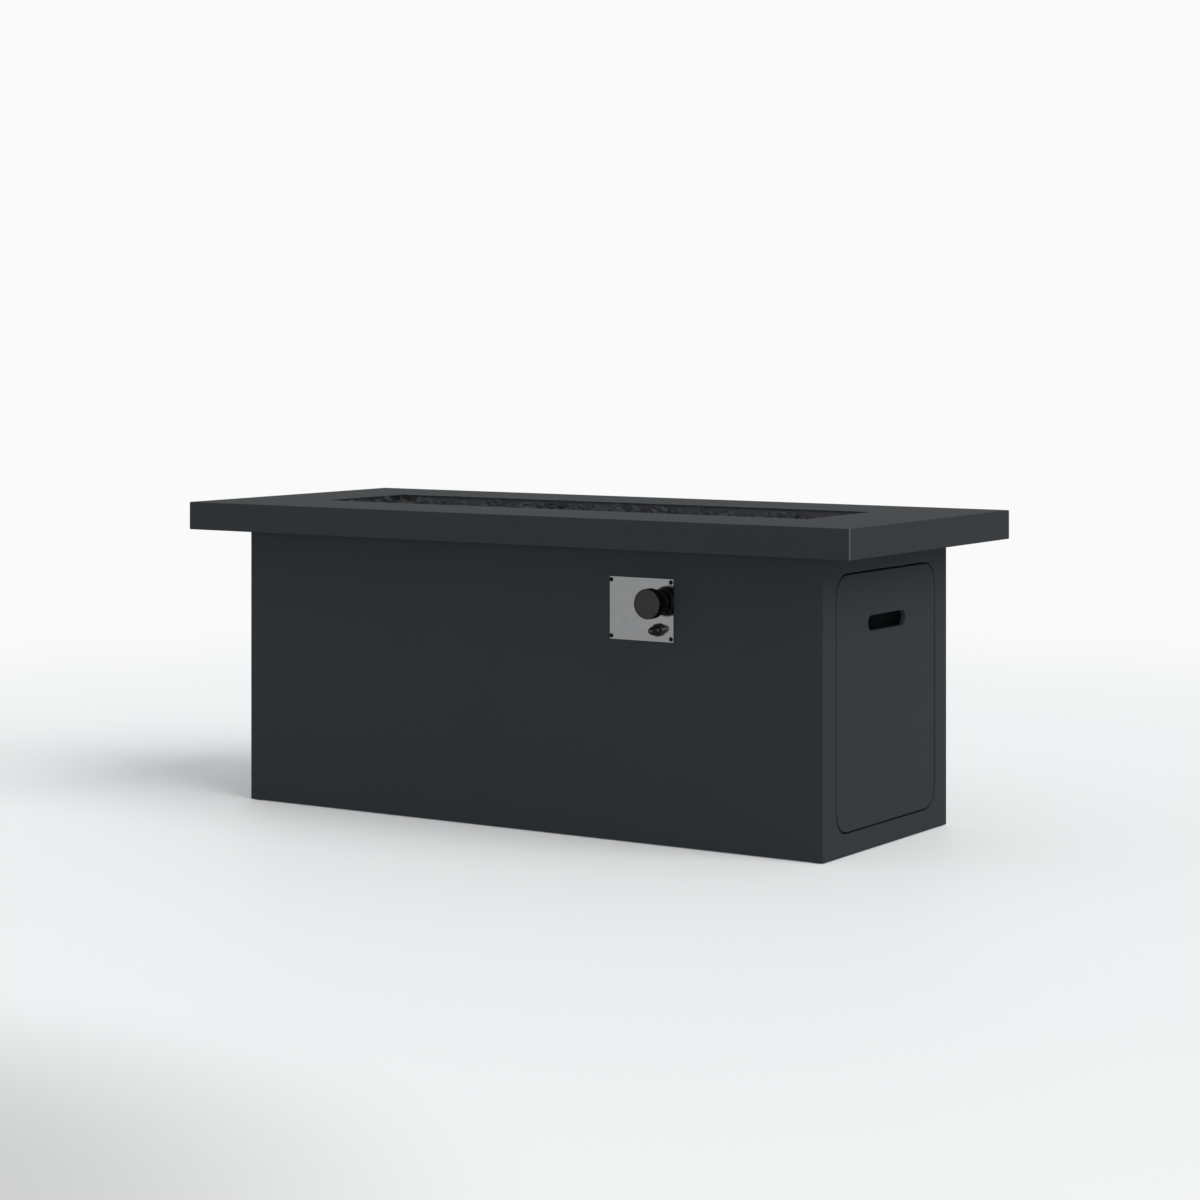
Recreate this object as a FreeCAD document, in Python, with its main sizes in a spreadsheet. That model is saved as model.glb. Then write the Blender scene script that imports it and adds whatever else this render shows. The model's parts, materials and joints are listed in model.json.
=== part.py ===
import FreeCAD, Part
import math
import os
import re

import Sketcher
from FreeCAD import Placement, Rotation, Vector

# Gas fire pit table: a folded steel top on a steel cabinet that hides a gas
# cylinder, with a burner pan of lava rock let into the top.
# Millimetres. Origin at the middle of the footprint, on the floor. +X points
# to the end with the access door, -Y to the side with the controls, +Z up.

os.makedirs("parts", exist_ok=True)
doc = FreeCAD.newDocument("fire_pit_table")
sheet = doc.addObject("Spreadsheet::Sheet", "Sizes")

SIZES = {
    # Tabletop
    "overall_height": 610,
    "top_length": 1524,
    "top_width": 658,
    "top_depth": 56,
    "top_sheet": 2,
    "top_corner": 3,
    "top_edge": 2,
    "top_return": 22,
    "opening_length": 1128,
    "opening_width": 257,
    "top_rail_width": 25,
    "tube_wall": 1.5,
    # Cabinet
    "cabinet_length": 1330,
    "cabinet_width": 499,
    "cabinet_clearance": 1.5,
    "cabinet_sheet": 1.5,
    "cabinet_flange": 25,
    "corner_round": 1.2,
    "post_size": 30,
    "base_rail_size": 25,
    "base_rail_low": 6,
    "glide_plug": 20,
    "vent_length": 60,
    "vent_height": 7,
    "vent_pitch": 90,
    "vent_low": 70,
    "vent_high": 470,
    # Access door in the right end
    "door_width": 394,
    "door_height": 469,
    "door_low": 44,
    "door_corner": 40,
    "door_gap": 3,
    "door_edge": 2,
    "door_return": 15,
    "jamb_depth": 20,
    "grip_length": 150,
    "grip_height": 29,
    "grip_mid": 417.5,
    "grip_return": 9.5,
    "grip_edge": 1.4,
    "peg_dia": 8,
    "peg_mid_y": 172,
    "peg_mid_z": 66,
    "catch_mid_y": 120,
    "catch_low": 488,
    "catch_height": 14,
    # Gas cylinder seat
    "tank_mid_x": 472,
    "tank_ring_bore": 213,
    "tank_ring_wall": 3,
    "tank_ring_height": 22,
    # Burner pan
    "pan_length": 1148,
    "pan_width": 277,
    "pan_depth": 64,
    "pan_sheet": 1.2,
    "pan_flange": 22,
    "burner_tube": 19,
    "burner_wall": 1.2,
    "cross_tube": 16,
    "burner_length": 1000,
    "burner_spacing": 120,
    "burner_lift": 8,
    "port_dia": 2.5,
    "port_pitch": 25,
    "inlet_dia": 21,
    "inlet_drop": 18,
    "shield_low": 512,
    "shield_length": 1200,
    "shield_width": 300,
    "shield_lip": 12,
    "shield_hole": 60,
    # Controls
    "plate_length": 140.2,
    "plate_height": 117.5,
    "plate_mid_x": 281.5,
    "plate_mid_z": 438.5,
    "plate_sheet": 2.5,
    "plate_screw_left": 3.4,
    "plate_screw_right": 5.4,
    "plate_screw_inset": 6,
    "plate_screw_dia": 4,
    "plate_screw_head": 8.6,
    "knob_x": 320.2,
    "knob_z": 453.1,
    "knob_dia": 56.6,
    "knob_proud": 45,
    "knob_gap": 4,
    "knob_rim": 3,
    "knob_wall": 3,
    "knob_skirt_drop": 4,
    "knob_skirt_depth": 21,
    "knob_flute": 2,
    "knob_flutes": 60,
    "stem_dia": 8,
    "stem_front": 288,
    "stem_flat": 2.4,
    "stem_flat_length": 27,
    "igniter_x": 319.3,
    "igniter_z": 401.8,
    "igniter_collar": 24.2,
    "igniter_collar_depth": 7,
    "igniter_collar_edge": 0.8,
    "igniter_recess": 5.2,
    "igniter_proud": 33.2,
    "igniter_barrel": 18,
    "button_dia": 17.6,
    "button_dome": 20.5,
    "button_lift": 8,
    "plunger_dia": 11,
    "fit_gap": 0.05,
    "part_gap": 0.3,
    "corner_per_flat": 0.57735,
    "gas_pipe_dia": 9.5,
    # Lava rock
    "rock_pitch_x": 41,
    "rock_pitch_y": 45,
    "rock_peak": 612,
}

for row, (alias, value) in enumerate(SIZES.items(), start=1):
    sheet.set("A%d" % row, str(value))
    sheet.setAlias("A%d" % row, alias)
doc.recompute()


# Names worked out once, as formulas of the sizes above
CABINET_TOP = "(overall_height - top_depth)"
CABINET_HALF_X = "(cabinet_length / 2)"
CABINET_HALF_Y = "(cabinet_width / 2)"
INNER_HALF_X = "(cabinet_length / 2 - cabinet_sheet)"
INNER_HALF_Y = "(cabinet_width / 2 - cabinet_sheet)"
TOP_UNDERSIDE = "(overall_height - top_sheet)"
POST_TOP = "(overall_height - top_depth - cabinet_sheet)"
FLOOR_TOP = "(base_rail_low + base_rail_size + cabinet_sheet)"
DOOR_MID = "(door_low + door_height / 2)"
PAN_FLOOR = "(overall_height - top_sheet - pan_depth + pan_sheet)"
PAN_UNDERSIDE = "(overall_height - top_sheet - pan_depth)"
BURNER_MID = "(%s + burner_lift + burner_tube / 2)" % PAN_FLOOR
PLATE_FRONT = "(-cabinet_width / 2 - plate_sheet)"
PANEL_BACK = "(-cabinet_width / 2 + cabinet_sheet)"
PLATE_SCREWS = [
    (x, "%s * (plate_height / 2 - plate_screw_inset)" % side)
    for x in ("(plate_screw_left - plate_length / 2)", "(plate_length / 2 - plate_screw_right)")
    for side in ("-1", "1")
]
CUTOUT_LENGTH = "116"
CUTOUT_HEIGHT = "98"
TOP_BOLT = "6.4"
TOP_BOLT_X = ("-520", "-170", "170", "520")

# Fixing points under the pan, in its floor and beside the burner
PAN_STUDS = [(x, side) for x in ("-480", "-240", "0", "240", "480") for side in ("-1", "1")]
STUD_Y = "(pan_width / 2 + pan_sheet + pan_flange / 2)"
STANDOFFS = [(x, y) for x in ("-520", "-260", "260", "520") for y in ("-115", "115")]
STAND_X = "430"
ELECTRODE_X = "92"
ELECTRODE_Y = "-104"
PROBE_X = "58"
WIRE_HOLE = "9.6"
WIRE_DROP = 14

# Gas train: the mixer screws up over the burner's inlet, the jet into the mixer
MIXER_SOCKET = "9"
MIXER_LENGTH = "62"
MIXER_TOP = "(%s - %s)" % (PAN_UNDERSIDE, MIXER_SOCKET)
JET_HEX = "(%s - %s)" % (MIXER_TOP, MIXER_LENGTH)
VALVE_MID_Y = -205
SIDE_PORT = 24

# Places along Y of the valve's stack, front to back
BONNET_FRONT = -246
BRACKET_FRONT = -240
BRACKET_BACK = -238
BODY_FRONT = -234
FLANGE_BACK = -229
CHAMBER_END = -224
PLUG_END = -195
VALVE_BACK = -184
CHAMBER_DIA = "16.6"
VALVE_SCREWS_Z = ("knob_z + 17", "knob_z - 17")
COLLAR_FRONT = BONNET_FRONT + 3.4
WASHER_FRONT = BONNET_FRONT + 5.3
WASHER_SHEET = 1.6

# Places along Y of the piezo igniter, and of its spring's chamber
IGNITER_FRONT = "(%s - igniter_collar_depth)" % PLATE_FRONT
CAP_BACK = "(%s - button_lift)" % PLATE_FRONT
PLUNGER_BACK = -240
SPRING_SEAT = -224
IGNITER_BACK = -196
BLADE_END = -185
PLUNGER_BORE = "(plunger_dia + 2 * part_gap)"

GOLDEN = (1 + math.sqrt(5)) / 2
ROCK_VARIATION = 14

FINISHED = []
ALONG = {
    "X": Rotation(Vector(0, 0, 1), Vector(1, 0, 0)),
    "-X": Rotation(Vector(0, 0, 1), Vector(-1, 0, 0)),
    "Y": Rotation(Vector(0, 0, 1), Vector(0, 1, 0)),
    "-Y": Rotation(Vector(0, 0, 1), Vector(0, -1, 0)),
    "Z": Rotation(),
    "-Z": Rotation(Vector(0, 0, 1), Vector(0, 0, -1)),
}


def formula(text):
    """Point every size that a formula names at its cell in the sheet."""
    return re.sub(r"[a-z][a-z_]+", lambda word: "Sizes." + word.group(0), str(text))


def number(text):
    """Work a formula out, for shapes that take plain numbers."""
    return float(sheet.evalExpression(formula(text)))


def bind(item, rules):
    for name, text in rules.items():
        item.setExpression(name, formula(text))


def put(item, point):
    bind(item, {"Placement.Base." + axis: text for axis, text in zip("xyz", point)})


def finish(item, name):
    """Give a finished sub-part its name and keep it for the export."""
    item.Label = name
    FINISHED.append(item)
    return item


# Solids from primitives

def block(low, spans):
    item = doc.addObject("Part::Box", "block")
    bind(item, dict(zip(("Length", "Width", "Height"), spans)))
    put(item, low)
    return item


def rod(start, way, diameter, length):
    item = doc.addObject("Part::Cylinder", "rod")
    item.Placement = Placement(Vector(), ALONG[way])
    bind(item, {"Radius": "(%s) / 2" % diameter, "Height": length})
    put(item, start)
    return item


def taper(start, way, wide, narrow, length):
    item = doc.addObject("Part::Cone", "taper")
    item.Placement = Placement(Vector(), ALONG[way])
    bind(item, {"Radius1": "(%s) / 2" % wide, "Radius2": "(%s) / 2" % narrow, "Height": length})
    put(item, start)
    return item


def hexagon(start, way, flats, length):
    item = doc.addObject("Part::Prism", "hexagon")
    item.Polygon = 6
    item.Placement = Placement(Vector(), ALONG[way])
    bind(item, {"Circumradius": "(%s) * corner_per_flat" % flats, "Height": length})
    put(item, start)
    return item


def join(*items):
    if len(items) == 1:
        return items[0]
    item = doc.addObject("Part::MultiFuse", "join")
    item.Shapes = list(items)
    item.Refine = True
    return item


def cut(base, *tools):
    item = doc.addObject("Part::Cut", "cut")
    item.Base = base
    item.Tool = join(*tools)
    return item


def group(*items):
    item = doc.addObject("Part::Compound", "group")
    item.Links = list(items)
    return item


def square_tube(low, spans, wall, way):
    """A rectangular tube, open at both ends along its way."""
    inner_low = [text if axis == way else "%s + %s" % (text, wall) for axis, text in zip("XYZ", low)]
    inner_spans = [text if axis == way else "%s - 2 * %s" % (text, wall) for axis, text in zip("XYZ", spans)]
    return cut(block(low, spans), block(inner_low, inner_spans))


def ring(start, way, outer, inner, length):
    return cut(rod(start, way, outer, length), rod(start, way, inner, length))


# Solids from sketches

def new_body(name):
    return finish(doc.addObject("PartDesign::Body", "Body"), name)


def sketch_on(body, role, offset):
    """A sketch on one of the body's own planes, moved along it and off it."""
    item = body.newObject("Sketcher::SketchObject", "Outline")
    plane = [feature for feature in body.Origin.OriginFeatures if feature.Role == role][0]
    item.AttachmentSupport = (plane, "")
    item.MapMode = "FlatFace"
    bind(item, {"AttachmentOffset.Base." + axis: text for axis, text in zip("xyz", offset)})
    return item


def held(item, constraint, text):
    bind(item, {"Constraints[%d]" % item.addConstraint(constraint): text})


def draw_rectangle(item, width, height, radius=None):
    """A rectangle about the sketch's origin, with rounded corners if a radius is given."""
    w = number(width) / 2
    h = number(height) / 2
    r = number(radius) if radius else 0.0
    ends = [
        (Vector(r - w, -h, 0), Vector(w - r, -h, 0)),
        (Vector(w, r - h, 0), Vector(w, h - r, 0)),
        (Vector(w - r, h, 0), Vector(r - w, h, 0)),
        (Vector(-w, h - r, 0), Vector(-w, r - h, 0)),
    ]
    lines = [item.addGeometry(Part.LineSegment(start, end)) for start, end in ends]
    if radius:
        centres = [(w - r, r - h, -90), (w - r, h - r, 0), (r - w, h - r, 90), (r - w, r - h, 180)]
        arcs = []
        for x, y, angle in centres:
            circle = Part.Circle(Vector(x, y, 0), Vector(0, 0, 1), r)
            first = math.radians(angle)
            arcs.append(item.addGeometry(Part.ArcOfCircle(circle, first, first + math.pi / 2)))
        for turn in range(4):
            item.addConstraint(Sketcher.Constraint("Tangent", lines[turn], 2, arcs[turn], 1))
            item.addConstraint(Sketcher.Constraint("Tangent", arcs[turn], 2, lines[(turn + 1) % 4], 1))
        for arc in arcs[1:]:
            item.addConstraint(Sketcher.Constraint("Equal", arcs[0], arc))
        held(item, Sketcher.Constraint("Radius", arcs[0], r), radius)
    else:
        for turn in range(4):
            item.addConstraint(Sketcher.Constraint("Coincident", lines[turn], 2, lines[(turn + 1) % 4], 1))
    item.addConstraint(Sketcher.Constraint("Vertical", lines[1]))
    item.addConstraint(Sketcher.Constraint("Horizontal", lines[2]))
    item.addConstraint(Sketcher.Constraint("Symmetric", lines[0], 1, lines[0], 2, -2))
    item.addConstraint(Sketcher.Constraint("Symmetric", lines[3], 1, lines[3], 2, -1))
    held(item, Sketcher.Constraint("DistanceX", lines[3], 1, lines[1], 2, 2 * w), width)
    held(item, Sketcher.Constraint("DistanceY", lines[0], 1, lines[2], 2, 2 * h), height)


def draw_slot(item, length, height):
    """A round-ended slot about the sketch's origin."""
    w = (number(length) - number(height)) / 2
    r = number(height) / 2
    low = item.addGeometry(Part.LineSegment(Vector(-w, -r, 0), Vector(w, -r, 0)))
    high = item.addGeometry(Part.LineSegment(Vector(w, r, 0), Vector(-w, r, 0)))
    ends = []
    for x, angle in ((w, -90), (-w, 90)):
        circle = Part.Circle(Vector(x, 0, 0), Vector(0, 0, 1), r)
        first = math.radians(angle)
        ends.append(item.addGeometry(Part.ArcOfCircle(circle, first, first + math.pi)))
    item.addConstraint(Sketcher.Constraint("Tangent", low, 2, ends[0], 1))
    item.addConstraint(Sketcher.Constraint("Tangent", ends[0], 2, high, 1))
    item.addConstraint(Sketcher.Constraint("Tangent", high, 2, ends[1], 1))
    item.addConstraint(Sketcher.Constraint("Tangent", ends[1], 2, low, 1))
    item.addConstraint(Sketcher.Constraint("Symmetric", low, 1, low, 2, -2))
    item.addConstraint(Sketcher.Constraint("PointOnObject", ends[0], 3, -1))
    held(item, Sketcher.Constraint("DistanceX", low, 1, low, 2, 2 * w), "%s - %s" % (length, height))
    held(item, Sketcher.Constraint("Radius", ends[0], r), "%s / 2" % height)


def draw_circle(item, diameter, spot=("0", "0")):
    place = Vector(number(spot[0]), number(spot[1]), 0)
    circle = item.addGeometry(Part.Circle(place, Vector(0, 0, 1), number(diameter) / 2))
    held(item, Sketcher.Constraint("DistanceX", -1, 1, circle, 3, place.x), spot[0])
    held(item, Sketcher.Constraint("DistanceY", -1, 1, circle, 3, place.y), spot[1])
    held(item, Sketcher.Constraint("Diameter", circle, number(diameter)), diameter)


def pad(body, profile, depth, reverse=True):
    """Sheets are drawn on their outer face and padded inwards, so reverse is usual."""
    item = body.newObject("PartDesign::Pad", "Pad")
    item.Profile = profile
    item.Reversed = reverse
    bind(item, {"Length": depth})
    return item


def pocket(body, profile, depth, reverse=False):
    item = body.newObject("PartDesign::Pocket", "Pocket")
    item.Profile = profile
    item.Reversed = reverse
    bind(item, {"Length": depth})
    return item


def repeat(body, feature, profile, axis, span, count):
    item = body.newObject("PartDesign::LinearPattern", "Row")
    item.Originals = [feature]
    item.Direction = (profile, [axis])
    item.Occurrences = count
    bind(item, {"Length": span})
    body.Tip = item


def round_edges(body, base, radius, chosen):
    """Fillet the edges of a feature that a test picks out."""
    doc.recompute()
    names = ["Edge%d" % (i + 1) for i, edge in enumerate(base.Shape.Edges) if chosen(edge)]
    item = body.newObject("PartDesign::Fillet", "Fillet")
    item.Base = (base, names)
    bind(item, {"Radius": radius})


def lies(edge, axis, value):
    """True if the whole edge lies where one coordinate has this value."""
    box = edge.BoundBox
    low = getattr(box, axis + "Min")
    high = getattr(box, axis + "Max")
    return abs(low - value) < 0.01 and abs(high - value) < 0.01


def round_face_edges(body, base, radius, width):
    """Fillet the edges in the end panel's outer face that lie within a width about its middle."""
    face_x = number(CABINET_HALF_X)
    reach = number(width) / 2 + 0.1

    def chosen(edge):
        box = edge.BoundBox
        return lies(edge, "X", face_x) and max(-box.YMin, box.YMax) < reach

    round_edges(body, base, radius, chosen)


# Tubes and wires that follow a route

def route_wire(points, radius):
    """Straight runs joined by tangent arcs, each as large as its runs allow up to the radius."""
    spots = [Vector(*point) for point in points]
    edges = []
    start = spots[0]
    for i in range(1, len(spots) - 1):
        corner = spots[i]
        back = (spots[i - 1] - corner).normalize()
        ahead = (spots[i + 1] - corner).normalize()
        half_turn = (math.pi - back.getAngle(ahead)) / 2
        shorter = min((spots[i - 1] - corner).Length, (spots[i + 1] - corner).Length)
        bend = min(radius, 0.45 * shorter / math.tan(half_turn))
        reach = bend * math.tan(half_turn)
        first = corner + back * reach
        last = corner + ahead * reach
        middle = (back + ahead).normalize()
        top = corner + middle * (bend / math.cos(half_turn) - bend)
        edges.append(Part.LineSegment(start, first).toShape())
        edges.append(Part.Arc(first, top, last).toShape())
        start = last
    edges.append(Part.LineSegment(start, spots[-1]).toShape())
    return Part.Wire(edges)


def swept_tube(points, radius, diameter, bore=0.0):
    wire = route_wire(points, radius)
    start = Vector(*points[0])
    along = (Vector(*points[1]) - start).normalize()
    solids = []
    for size in (diameter, bore):
        if size:
            section = Part.Wire(Part.Circle(start, along, size / 2).toShape())
            solids.append(wire.makePipeShell([section], True, False))
    return solids[0].cut(solids[1]) if bore else solids[0]


def made(name, shape):
    """A sub-part whose shape is worked out here instead of in a feature."""
    item = doc.addObject("Part::Feature", "Made")
    item.Shape = shape
    return finish(item, name)


def coil(centre, way, mean_diameter, wire, length, turns):
    """A compression spring: one unbroken helix of quarter turns, each a pair of arcs."""
    pitch = (length - wire) / turns
    radius = mean_diameter / 2
    steps = 4 * turns
    rise = pitch / 4

    def at(step):
        angle = step * math.pi / 2
        return Vector(radius * math.cos(angle), radius * math.sin(angle), wire / 2 + rise * step)

    def heading(step):
        angle = step * math.pi / 2
        climb = rise / (math.pi / 2)
        return Vector(-radius * math.sin(angle), radius * math.cos(angle), climb).normalize()

    edges = []
    for step in range(steps):
        a, b = at(step), at(step + 1)
        ta, tb = heading(step), heading(step + 1)
        gap = b - a
        # equal reach from both ends, so that the two arcs meet with one tangent
        both = ta + tb
        square = 2 * (1 - ta.dot(tb))
        lean = gap.dot(both)
        reach = (math.sqrt(lean * lean + square * gap.dot(gap)) - lean) / square
        joint = (a + ta * reach + b - tb * reach) * 0.5
        for start, end, tangent, sign in ((a, joint, ta, 1), (joint, b, tb, -1)):
            pivot = start if sign == 1 else end
            chord = (end - start) if sign == 1 else (start - end)
            direction = tangent * sign
            turn = direction.getAngle(chord)
            inward = (chord - direction * chord.dot(direction)).normalize()
            bend = chord.Length / (2 * math.sin(turn))
            mid = pivot + direction * (bend * math.sin(turn)) + inward * (bend * (1 - math.cos(turn)))
            edges.append(Part.Arc(start, mid, end).toShape())
    path = Part.Wire(edges)
    section = Part.Wire(Part.Circle(at(0), heading(0), wire / 2).toShape())
    shape = path.makePipeShell([section], True, False)
    shape.Placement = Placement(Vector(*centre), ALONG[way])
    print("spring gap to itself %.2f mm" % (pitch - wire))
    return shape


# Tabletop

def make_tabletop():
    body = new_body("tabletop")
    outline = sketch_on(body, "XY_Plane", ("0", "0", "overall_height"))
    draw_rectangle(outline, "top_length", "top_width", "top_corner")
    slab = pad(body, outline, "top_depth")
    high = number("overall_height")
    low = number(CABINET_TOP)
    round_edges(body, slab, "top_edge", lambda edge: lies(edge, "Z", high) or lies(edge, "Z", low))
    hollow = sketch_on(body, "XY_Plane", ("0", "0", "%s + top_sheet" % CABINET_TOP))
    draw_rectangle(hollow, "top_length - 2 * top_sheet", "top_width - 2 * top_sheet")
    pocket(body, hollow, "top_depth - 2 * top_sheet", True)
    mouth = sketch_on(body, "XY_Plane", ("0", "0", CABINET_TOP))
    draw_rectangle(
        mouth,
        "top_length - 2 * top_sheet - 2 * top_return",
        "top_width - 2 * top_sheet - 2 * top_return",
    )
    pocket(body, mouth, "2 * top_sheet", True)
    opening = sketch_on(body, "XY_Plane", ("0", "0", "overall_height"))
    draw_rectangle(opening, "opening_length", "opening_width")
    pocket(body, opening, "2 * top_sheet")


def make_top_rails():
    """Four tubes under the top, standing on the cabinet's flanges."""
    depth = "top_depth - top_sheet"
    for name, low_y in (("front", "-" + INNER_HALF_Y), ("back", INNER_HALF_Y + " - top_rail_width")):
        low = ("-" + INNER_HALF_X, low_y, CABINET_TOP)
        tube = square_tube(low, ("2 * " + INNER_HALF_X, "top_rail_width", depth), "tube_wall", "X")
        holes = [rod((x, "%s + top_rail_width / 2" % low_y, CABINET_TOP), "Z", TOP_BOLT, "2 * tube_wall")
                 for x in TOP_BOLT_X]
        finish(cut(tube, *holes), "top_rail_" + name)
    for name, low_x in (("left", "-" + INNER_HALF_X), ("right", INNER_HALF_X + " - top_rail_width")):
        low = (low_x, "-%s + top_rail_width" % INNER_HALF_Y, CABINET_TOP)
        spans = ("top_rail_width", "2 * %s - 2 * top_rail_width" % INNER_HALF_Y, depth)
        finish(square_tube(low, spans, "tube_wall", "Y"), "top_rail_" + name)


def make_top_bolts():
    bolts = []
    for x in TOP_BOLT_X:
        for side in ("-1", "1"):
            y = "%s * (%s - top_rail_width / 2)" % (side, INNER_HALF_Y)
            head = hexagon((x, y, POST_TOP + " - 4"), "Z", "10", "4")
            shank = rod((x, y, POST_TOP), "Z", "6", "14")
            bolts.append(join(head, shank))
    finish(group(*bolts), "top_bolts")


# Cabinet panels

def make_long_panel(name, side):
    """Front or back panel: a flat sheet with a flange folded inwards along its top."""
    body = new_body(name)
    height = "%s - cabinet_clearance" % CABINET_TOP
    mid = "(%s + cabinet_clearance) / 2" % CABINET_TOP
    front = side < 0
    lift = CABINET_HALF_Y if front else "-" + CABINET_HALF_Y
    face = sketch_on(body, "XZ_Plane", ("0", mid, lift))
    draw_rectangle(face, "cabinet_length", height)
    skin = pad(body, face, "cabinet_sheet", front)
    edge_x = number(CABINET_HALF_X)
    edge_y = side * number(CABINET_HALF_Y)
    round_edges(
        body, skin, "corner_round",
        lambda edge: lies(edge, "Y", edge_y) and (lies(edge, "X", edge_x) or lies(edge, "X", -edge_x)),
    )
    fold_y = "%d * (%s - cabinet_flange / 2)" % (side, CABINET_HALF_Y)
    fold = sketch_on(body, "XY_Plane", ("0", fold_y, CABINET_TOP))
    draw_rectangle(fold, "2 * %s" % INNER_HALF_X, "cabinet_flange - 0.5")
    pad(body, fold, "cabinet_sheet")
    bolt_y = "%d * (%s - top_rail_width / 2)" % (side, INNER_HALF_Y)
    for x in TOP_BOLT_X:
        hole = sketch_on(body, "XY_Plane", (x, bolt_y, CABINET_TOP))
        draw_circle(hole, TOP_BOLT)
        pocket(body, hole, "2 * cabinet_sheet")
    return body


def make_front_panel():
    body = make_long_panel("front_panel", -1)
    window = sketch_on(body, "XZ_Plane", ("plate_mid_x", "plate_mid_z", CABINET_HALF_Y))
    draw_rectangle(window, CUTOUT_LENGTH, CUTOUT_HEIGHT, "4")
    pocket(body, window, "2 * cabinet_sheet")
    screws = sketch_on(body, "XZ_Plane", ("plate_mid_x", "plate_mid_z", CABINET_HALF_Y))
    for spot in PLATE_SCREWS:
        draw_circle(screws, "plate_screw_dia", spot)
    pocket(body, screws, "2 * cabinet_sheet")


def make_back_panel():
    body = make_long_panel("back_panel", 1)
    count = 11
    for height in ("vent_low", "vent_high"):
        slot = sketch_on(body, "XZ_Plane", ("-vent_pitch * 5", height, "-" + CABINET_HALF_Y))
        draw_slot(slot, "vent_length", "vent_height")
        first = pocket(body, slot, "2 * cabinet_sheet", True)
        repeat(body, first, slot, "H_Axis", "vent_pitch * 10", count)


def make_end_panel(name, side):
    """End panel: butts between the long panels, with a flange folded inwards along its top."""
    body = new_body(name)
    height = "%s - cabinet_clearance" % CABINET_TOP
    mid = "(%s + cabinet_clearance) / 2" % CABINET_TOP
    right = side > 0
    lift = CABINET_HALF_X if right else "-" + CABINET_HALF_X
    face = sketch_on(body, "YZ_Plane", ("0", mid, lift))
    draw_rectangle(face, "2 * %s" % INNER_HALF_Y, height)
    pad(body, face, "cabinet_sheet", right)
    fold_x = "%d * (%s - cabinet_flange / 2)" % (side, CABINET_HALF_X)
    fold = sketch_on(body, "XY_Plane", (fold_x, "0", CABINET_TOP))
    draw_rectangle(fold, "cabinet_flange - 0.5", "cabinet_width - 2 * cabinet_flange")
    pad(body, fold, "cabinet_sheet")
    return body


def make_right_end_panel():
    """The door end: a round-cornered opening with a jamb folded inwards all round."""
    body = make_end_panel("right_end_panel", 1)
    wide = "door_width + 2 * door_gap"
    tall = "door_height + 2 * door_gap"
    corner = "door_corner + door_gap"
    opening = sketch_on(body, "YZ_Plane", ("0", DOOR_MID, CABINET_HALF_X))
    draw_rectangle(opening, wide, tall, corner)
    pocket(body, opening, "2 * cabinet_sheet")
    jamb = sketch_on(body, "YZ_Plane", ("0", DOOR_MID, INNER_HALF_X + " + 0.5"))
    outer = " + 2 * cabinet_sheet"
    draw_rectangle(jamb, wide + outer, tall + outer, corner + " + cabinet_sheet")
    draw_rectangle(jamb, wide, tall, corner)
    folded = pad(body, jamb, "jamb_depth")
    round_face_edges(body, folded, "door_edge", wide)


# Frame inside the cabinet

def make_posts():
    height = "%s - cabinet_clearance" % POST_TOP
    for name_y, low_y in (("front", "-" + INNER_HALF_Y), ("back", INNER_HALF_Y + " - post_size")):
        for name_x, low_x in (("left", "-" + INNER_HALF_X), ("right", INNER_HALF_X + " - post_size")):
            low = (low_x, low_y, "cabinet_clearance")
            tube = square_tube(low, ("post_size", "post_size", height), "tube_wall", "Z")
            finish(tube, "corner_post_%s_%s" % (name_y, name_x))


def make_glide_feet():
    """Moulded plugs in the posts' lower ends; their pads carry the table."""
    feet = []
    for sy in ("-1", "1"):
        for sx in ("-1", "1"):
            x = "%s * (%s - post_size / 2)" % (sx, INNER_HALF_X)
            y = "%s * (%s - post_size / 2)" % (sy, INNER_HALF_Y)
            pad_rod = rod((x, y, "0"), "Z", "post_size - 2", "cabinet_clearance")
            plug_size = "post_size - 2 * tube_wall"
            corner = " - post_size / 2 + tube_wall"
            plug = block((x + corner, y + corner, "cabinet_clearance"), (plug_size, plug_size, "glide_plug"))
            feet.append(join(pad_rod, plug))
    finish(group(*feet), "glide_feet")


def make_base_rails():
    for name, low_y in (("front", "-" + INNER_HALF_Y), ("back", INNER_HALF_Y + " - base_rail_size")):
        low = ("-%s + post_size" % INNER_HALF_X, low_y, "base_rail_low")
        spans = ("2 * %s - 2 * post_size" % INNER_HALF_X, "base_rail_size", "base_rail_size")
        finish(square_tube(low, spans, "tube_wall", "X"), "base_rail_" + name)
    for name, low_x in (("left", "-" + INNER_HALF_X), ("right", INNER_HALF_X + " - base_rail_size")):
        low = (low_x, "-%s + post_size" % INNER_HALF_Y, "base_rail_low")
        spans = ("base_rail_size", "2 * %s - 2 * post_size" % INNER_HALF_Y, "base_rail_size")
        finish(square_tube(low, spans, "tube_wall", "Y"), "base_rail_" + name)


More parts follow.
